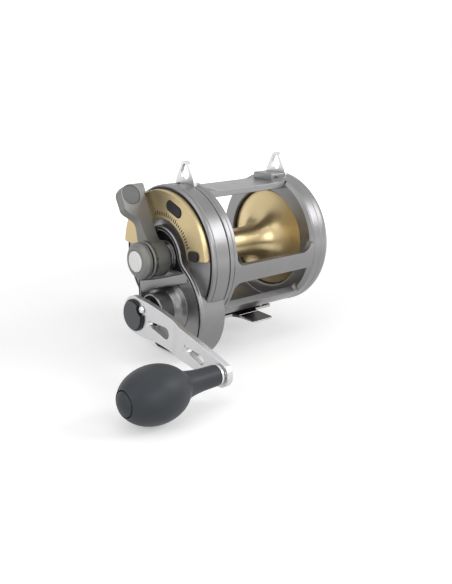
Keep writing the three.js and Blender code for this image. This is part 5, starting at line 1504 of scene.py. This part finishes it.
def seen_rays(tree):
    """One for camera, glossy and transmission rays, nought for those that only light the reel."""
    path = tree.nodes.new("ShaderNodeLightPath").outputs
    seen = maths(tree, "MAXIMUM", path["Is Camera Ray"], path["Is Glossy Ray"])
    return maths(tree, "MAXIMUM", seen, path["Is Transmission Ray"])


def build_floor():
    """Pale floor at the reel's lowest point: it keeps the shadow, and is lifted to white."""
    clear()
    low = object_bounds()[0].z
    bpy.ops.mesh.primitive_plane_add(size=FLOOR_SIZE, location=(0, 0, low - FLOOR_GAP))
    floor = bpy.context.object
    floor.name = "studio_floor"
    material = bpy.data.materials.new("studio_floor")
    material.use_nodes = True
    tree = material.node_tree
    tree.nodes.clear()
    tone = blend_colour(tree, noise(tree, 9.0, 2.0), *FLOOR_TONES)
    matte = node(tree, "ShaderNodeBsdfDiffuse", {"Color": tone})
    away = node(tree, "ShaderNodeVectorMath", {0: object_place(tree)}, operation="LENGTH")
    glowing = ranged(tree, away.outputs["Value"], LIFT_REACH, LIFT, interpolation_type="SMOOTHSTEP")
    lift = maths(tree, "MULTIPLY", seen_rays(tree), glowing)
    glow = node(tree, "ShaderNodeEmission", {"Strength": lift})
    both = node(
        tree, "ShaderNodeAddShader", {0: matte.outputs["BSDF"], 1: glow.outputs["Emission"]}
    )
    node(tree, "ShaderNodeOutputMaterial", {"Surface": both.outputs["Shader"]})
    floor.data.materials.append(material)
    floor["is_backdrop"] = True


def build_world():
    """Surroundings: white where they are seen or mirrored, a softer grey where they only light."""
    world = bpy.data.worlds.new("studio_world")
    bpy.context.scene.world = world
    world.use_nodes = True
    tree = world.node_tree
    tree.nodes.clear()
    soft, white = (
        node(
            tree, "ShaderNodeBackground", {"Color": WHITE, "Strength": strength}
        ) for strength in (SOFT_STRENGTH, WHITE_STRENGTH)
    )
    inputs = {0: seen_rays(tree), 1: soft.outputs["Background"], 2: white.outputs["Background"]}
    both = node(tree, "ShaderNodeMixShader", inputs)
    node(tree, "ShaderNodeOutputWorld", {"Surface": both.outputs["Shader"]})


SOFTBOXES = (
    # name, place, width, height, power in watts
    ("key_box", (-0.85, 0.85, 0.75), 0.7, 0.6, 6.0),
    ("front_box", (0.25, 1.25, 0.5), 0.8, 0.6, 4.5),
    ("top_box", (0.2, 0.1, 1.25), 1.0, 0.9, 2.0),
    ("side_box", (1.15, 0.1, 0.7), 0.8, 0.9, 3.0),
)


LIGHT_TARGET = (0.03, 0.02, 0.05)


def build_lights():
    """The soft boxes, all turned to the reel."""
    for name, place, width, height, power in SOFTBOXES:
        clear()
        bpy.ops.object.light_add(type="AREA", location=place)
        lamp = bpy.context.object
        lamp.name = name
        lamp.data.shape = "RECTANGLE"
        lamp.data.size = width
        lamp.data.size_y = height
        lamp.data.energy = power
        aim(lamp, LIGHT_TARGET)


# ---- add-on -------------------------------------------------------------------------------


class ReelSizes(bpy.types.PropertyGroup):
    """Sizes that change the reel's trim."""

    ridge_groove: bpy.props.FloatProperty(
        name="Ridge Groove", description="Width of the groove along the side plate's ridge",
        default=0.0013, min=0.0003, max=0.002, unit="LENGTH", precision=4,
    )
    knob_seam: bpy.props.FloatProperty(
        name="Knob Seam", description="Width of the seam round the grip's end cap", default=0.0006,
        min=0.0002, max=0.001, unit="LENGTH", precision=4,
    )
    mark_count: bpy.props.IntProperty(
        name="Dial Marks", description="How many strokes the drag dial has", default=22, min=2,
        max=60,
    )


def colour_property(name, description, default):
    """A colour of the add-on's panel."""
    return bpy.props.FloatVectorProperty(
        name=name, description=description, default=default, size=4, min=0, max=1, subtype="COLOR"
    )


class ReelColours(bpy.types.PropertyGroup):
    """Colours of the reel's main finishes."""

    casting: colour_property(
        "Castings", "Satin grey of the frame and side plates", (0.25, 0.246, 0.25, 1)
    )
    lever: colour_property(
        "Lever", "Satin grey of the drag lever and preset knob", (0.2, 0.199, 0.19, 1)
    )
    gold: colour_property("Gold", "Anodised gold of the dial and the spool", (0.5, 0.4, 0.225, 1))
    alloy: colour_property(
        "Bright Alloy", "Bright metal of the crank arm and lugs", (0.62, 0.62, 0.63, 1)
    )
    steel: colour_property("Steel", "Polished steel of the foot and screws", (0.46, 0.45, 0.44, 1))
    black: colour_property(
        "Black", "Moulded black of the buttons and stops", (0.016, 0.014, 0.017, 1)
    )
    rubber: colour_property("Grip", "Soft charcoal of the crank knob", (0.024, 0.028, 0.034, 1))


UNDOABLE = {"REGISTER", "UNDO"}


def finished():
    """Leaves nothing selected, and tells Blender that an operator has finished."""
    clear()
    return {"FINISHED"}


class REEL_OT_frame(bpy.types.Operator):
    """Adds the frame, its harness lugs and the reel foot"""

    bl_idname = "reel.frame"
    bl_label = "Frame and Foot"
    bl_options = UNDOABLE

    def execute(self, context):
        build_frame()
        for side, word in ((1, "right"), (-1, "left")):
            build_lug(side, f"lug_{word}", f"harness_lug_{word}")
            build_lug_screw(side, f"lug_fixing_{word}", f"lug_screw_{word}")
        build_foot()
        return finished()
class REEL_OT_side_plate(bpy.types.Operator):
    """Adds the handle side plate with its ridge, crank tube and hood, and a black sheet of painted
    shade in its well
    """

    bl_idname = "reel.side_plate"
    bl_label = "Handle Side Plate"
    bl_options = UNDOABLE

    def execute(self, context):
        build_side_plate()
        build_well_shade_sheet()
        return finished()
class REEL_OT_dial(bpy.types.Operator):
    """Adds the drag dial, its marks, the strike button and the end stop"""

    bl_idname = "reel.dial"
    bl_label = "Drag Dial"
    bl_options = UNDOABLE

    def execute(self, context):
        build_dial()
        build_dial_marks()
        build_button()
        build_stop()
        return finished()
class REEL_OT_lever(bpy.types.Operator):
    """Adds the drag lever, its pad and the preset knob"""

    bl_idname = "reel.lever"
    bl_label = "Drag Lever"
    bl_options = UNDOABLE

    def execute(self, context):
        build_lever()
        build_pad()
        build_preset()
        return finished()
class REEL_OT_crank(bpy.types.Operator):
    """Adds the crank sleeve, arm, nut cover and grip"""

    bl_idname = "reel.crank"
    bl_label = "Crank and Grip"
    bl_options = UNDOABLE

    def execute(self, context):
        build_sleeve()
        build_arm()
        build_nut_cap()
        build_knob()
        return finished()
class REEL_OT_spool(bpy.types.Operator):
    """Adds the spool"""

    bl_idname = "reel.spool"
    bl_label = "Spool"
    bl_options = UNDOABLE

    def execute(self, context):
        build_spool()
        return finished()
class REEL_OT_left_side(bpy.types.Operator):
    """Adds the left side cap, its screws and the click button"""

    bl_idname = "reel.left_side"
    bl_label = "Left Side"
    bl_options = UNDOABLE

    def execute(self, context):
        build_left_cap()
        build_click_button()
        return finished()
class REEL_OT_inner_parts(bpy.types.Operator):
    """Gives the shafts, bearings, gears and small screws their finishes"""

    bl_idname = "reel.inner_parts"
    bl_label = "Inner Parts"
    bl_options = UNDOABLE

    def execute(self, context):
        dress_kept_nodes()
        return finished()
class REEL_OT_stage(bpy.types.Operator):
    """Adds the camera, floor, surroundings and soft lights"""

    bl_idname = "reel.stage"
    bl_label = "Stage"
    bl_options = UNDOABLE

    def execute(self, context):
        build_camera()
        build_floor()
        build_world()
        build_lights()
        bpy.context.scene.view_settings.view_transform = "Standard"
        return finished()


OPERATORS = (
    REEL_OT_frame,
    REEL_OT_side_plate,
    REEL_OT_dial,
    REEL_OT_lever,
    REEL_OT_crank,
    REEL_OT_spool,
    REEL_OT_left_side,
    REEL_OT_inner_parts,
    REEL_OT_stage,
)


class REEL_PT_panel(bpy.types.Panel):
    """Lists the reel's sizes, colours and pieces."""

    bl_idname = "REEL_PT_panel"
    bl_label = "Trolling Reel"
    bl_space_type = "VIEW_3D"
    bl_region_type = "UI"
    bl_category = "Reel"

    def draw(self, context):
        for group in (context.scene.reel_sizes, context.scene.reel_colours):
            for name in group.__annotations__:
                self.layout.prop(group, name)
        for operator in OPERATORS:
            self.layout.operator(operator.bl_idname)


CLASSES = (ReelSizes, ReelColours, *OPERATORS, REEL_PT_panel)


def register():
    """Makes the classes and settings known to Blender."""
    for made in CLASSES:
        bpy.utils.register_class(made)
    bpy.types.Scene.reel_sizes = bpy.props.PointerProperty(type=ReelSizes)
    bpy.types.Scene.reel_colours = bpy.props.PointerProperty(type=ReelColours)


def unregister():
    """Takes the classes and settings away again."""
    del bpy.types.Scene.reel_colours
    del bpy.types.Scene.reel_sizes
    for made in reversed(CLASSES):
        bpy.utils.unregister_class(made)


def main():
    """Registers the add-on and builds the reel in order."""
    register()
    for operator in OPERATORS:
        group, name = operator.bl_idname.split(".")
        getattr(getattr(bpy.ops, group), name)()


if __name__ == "__main__":
    main()
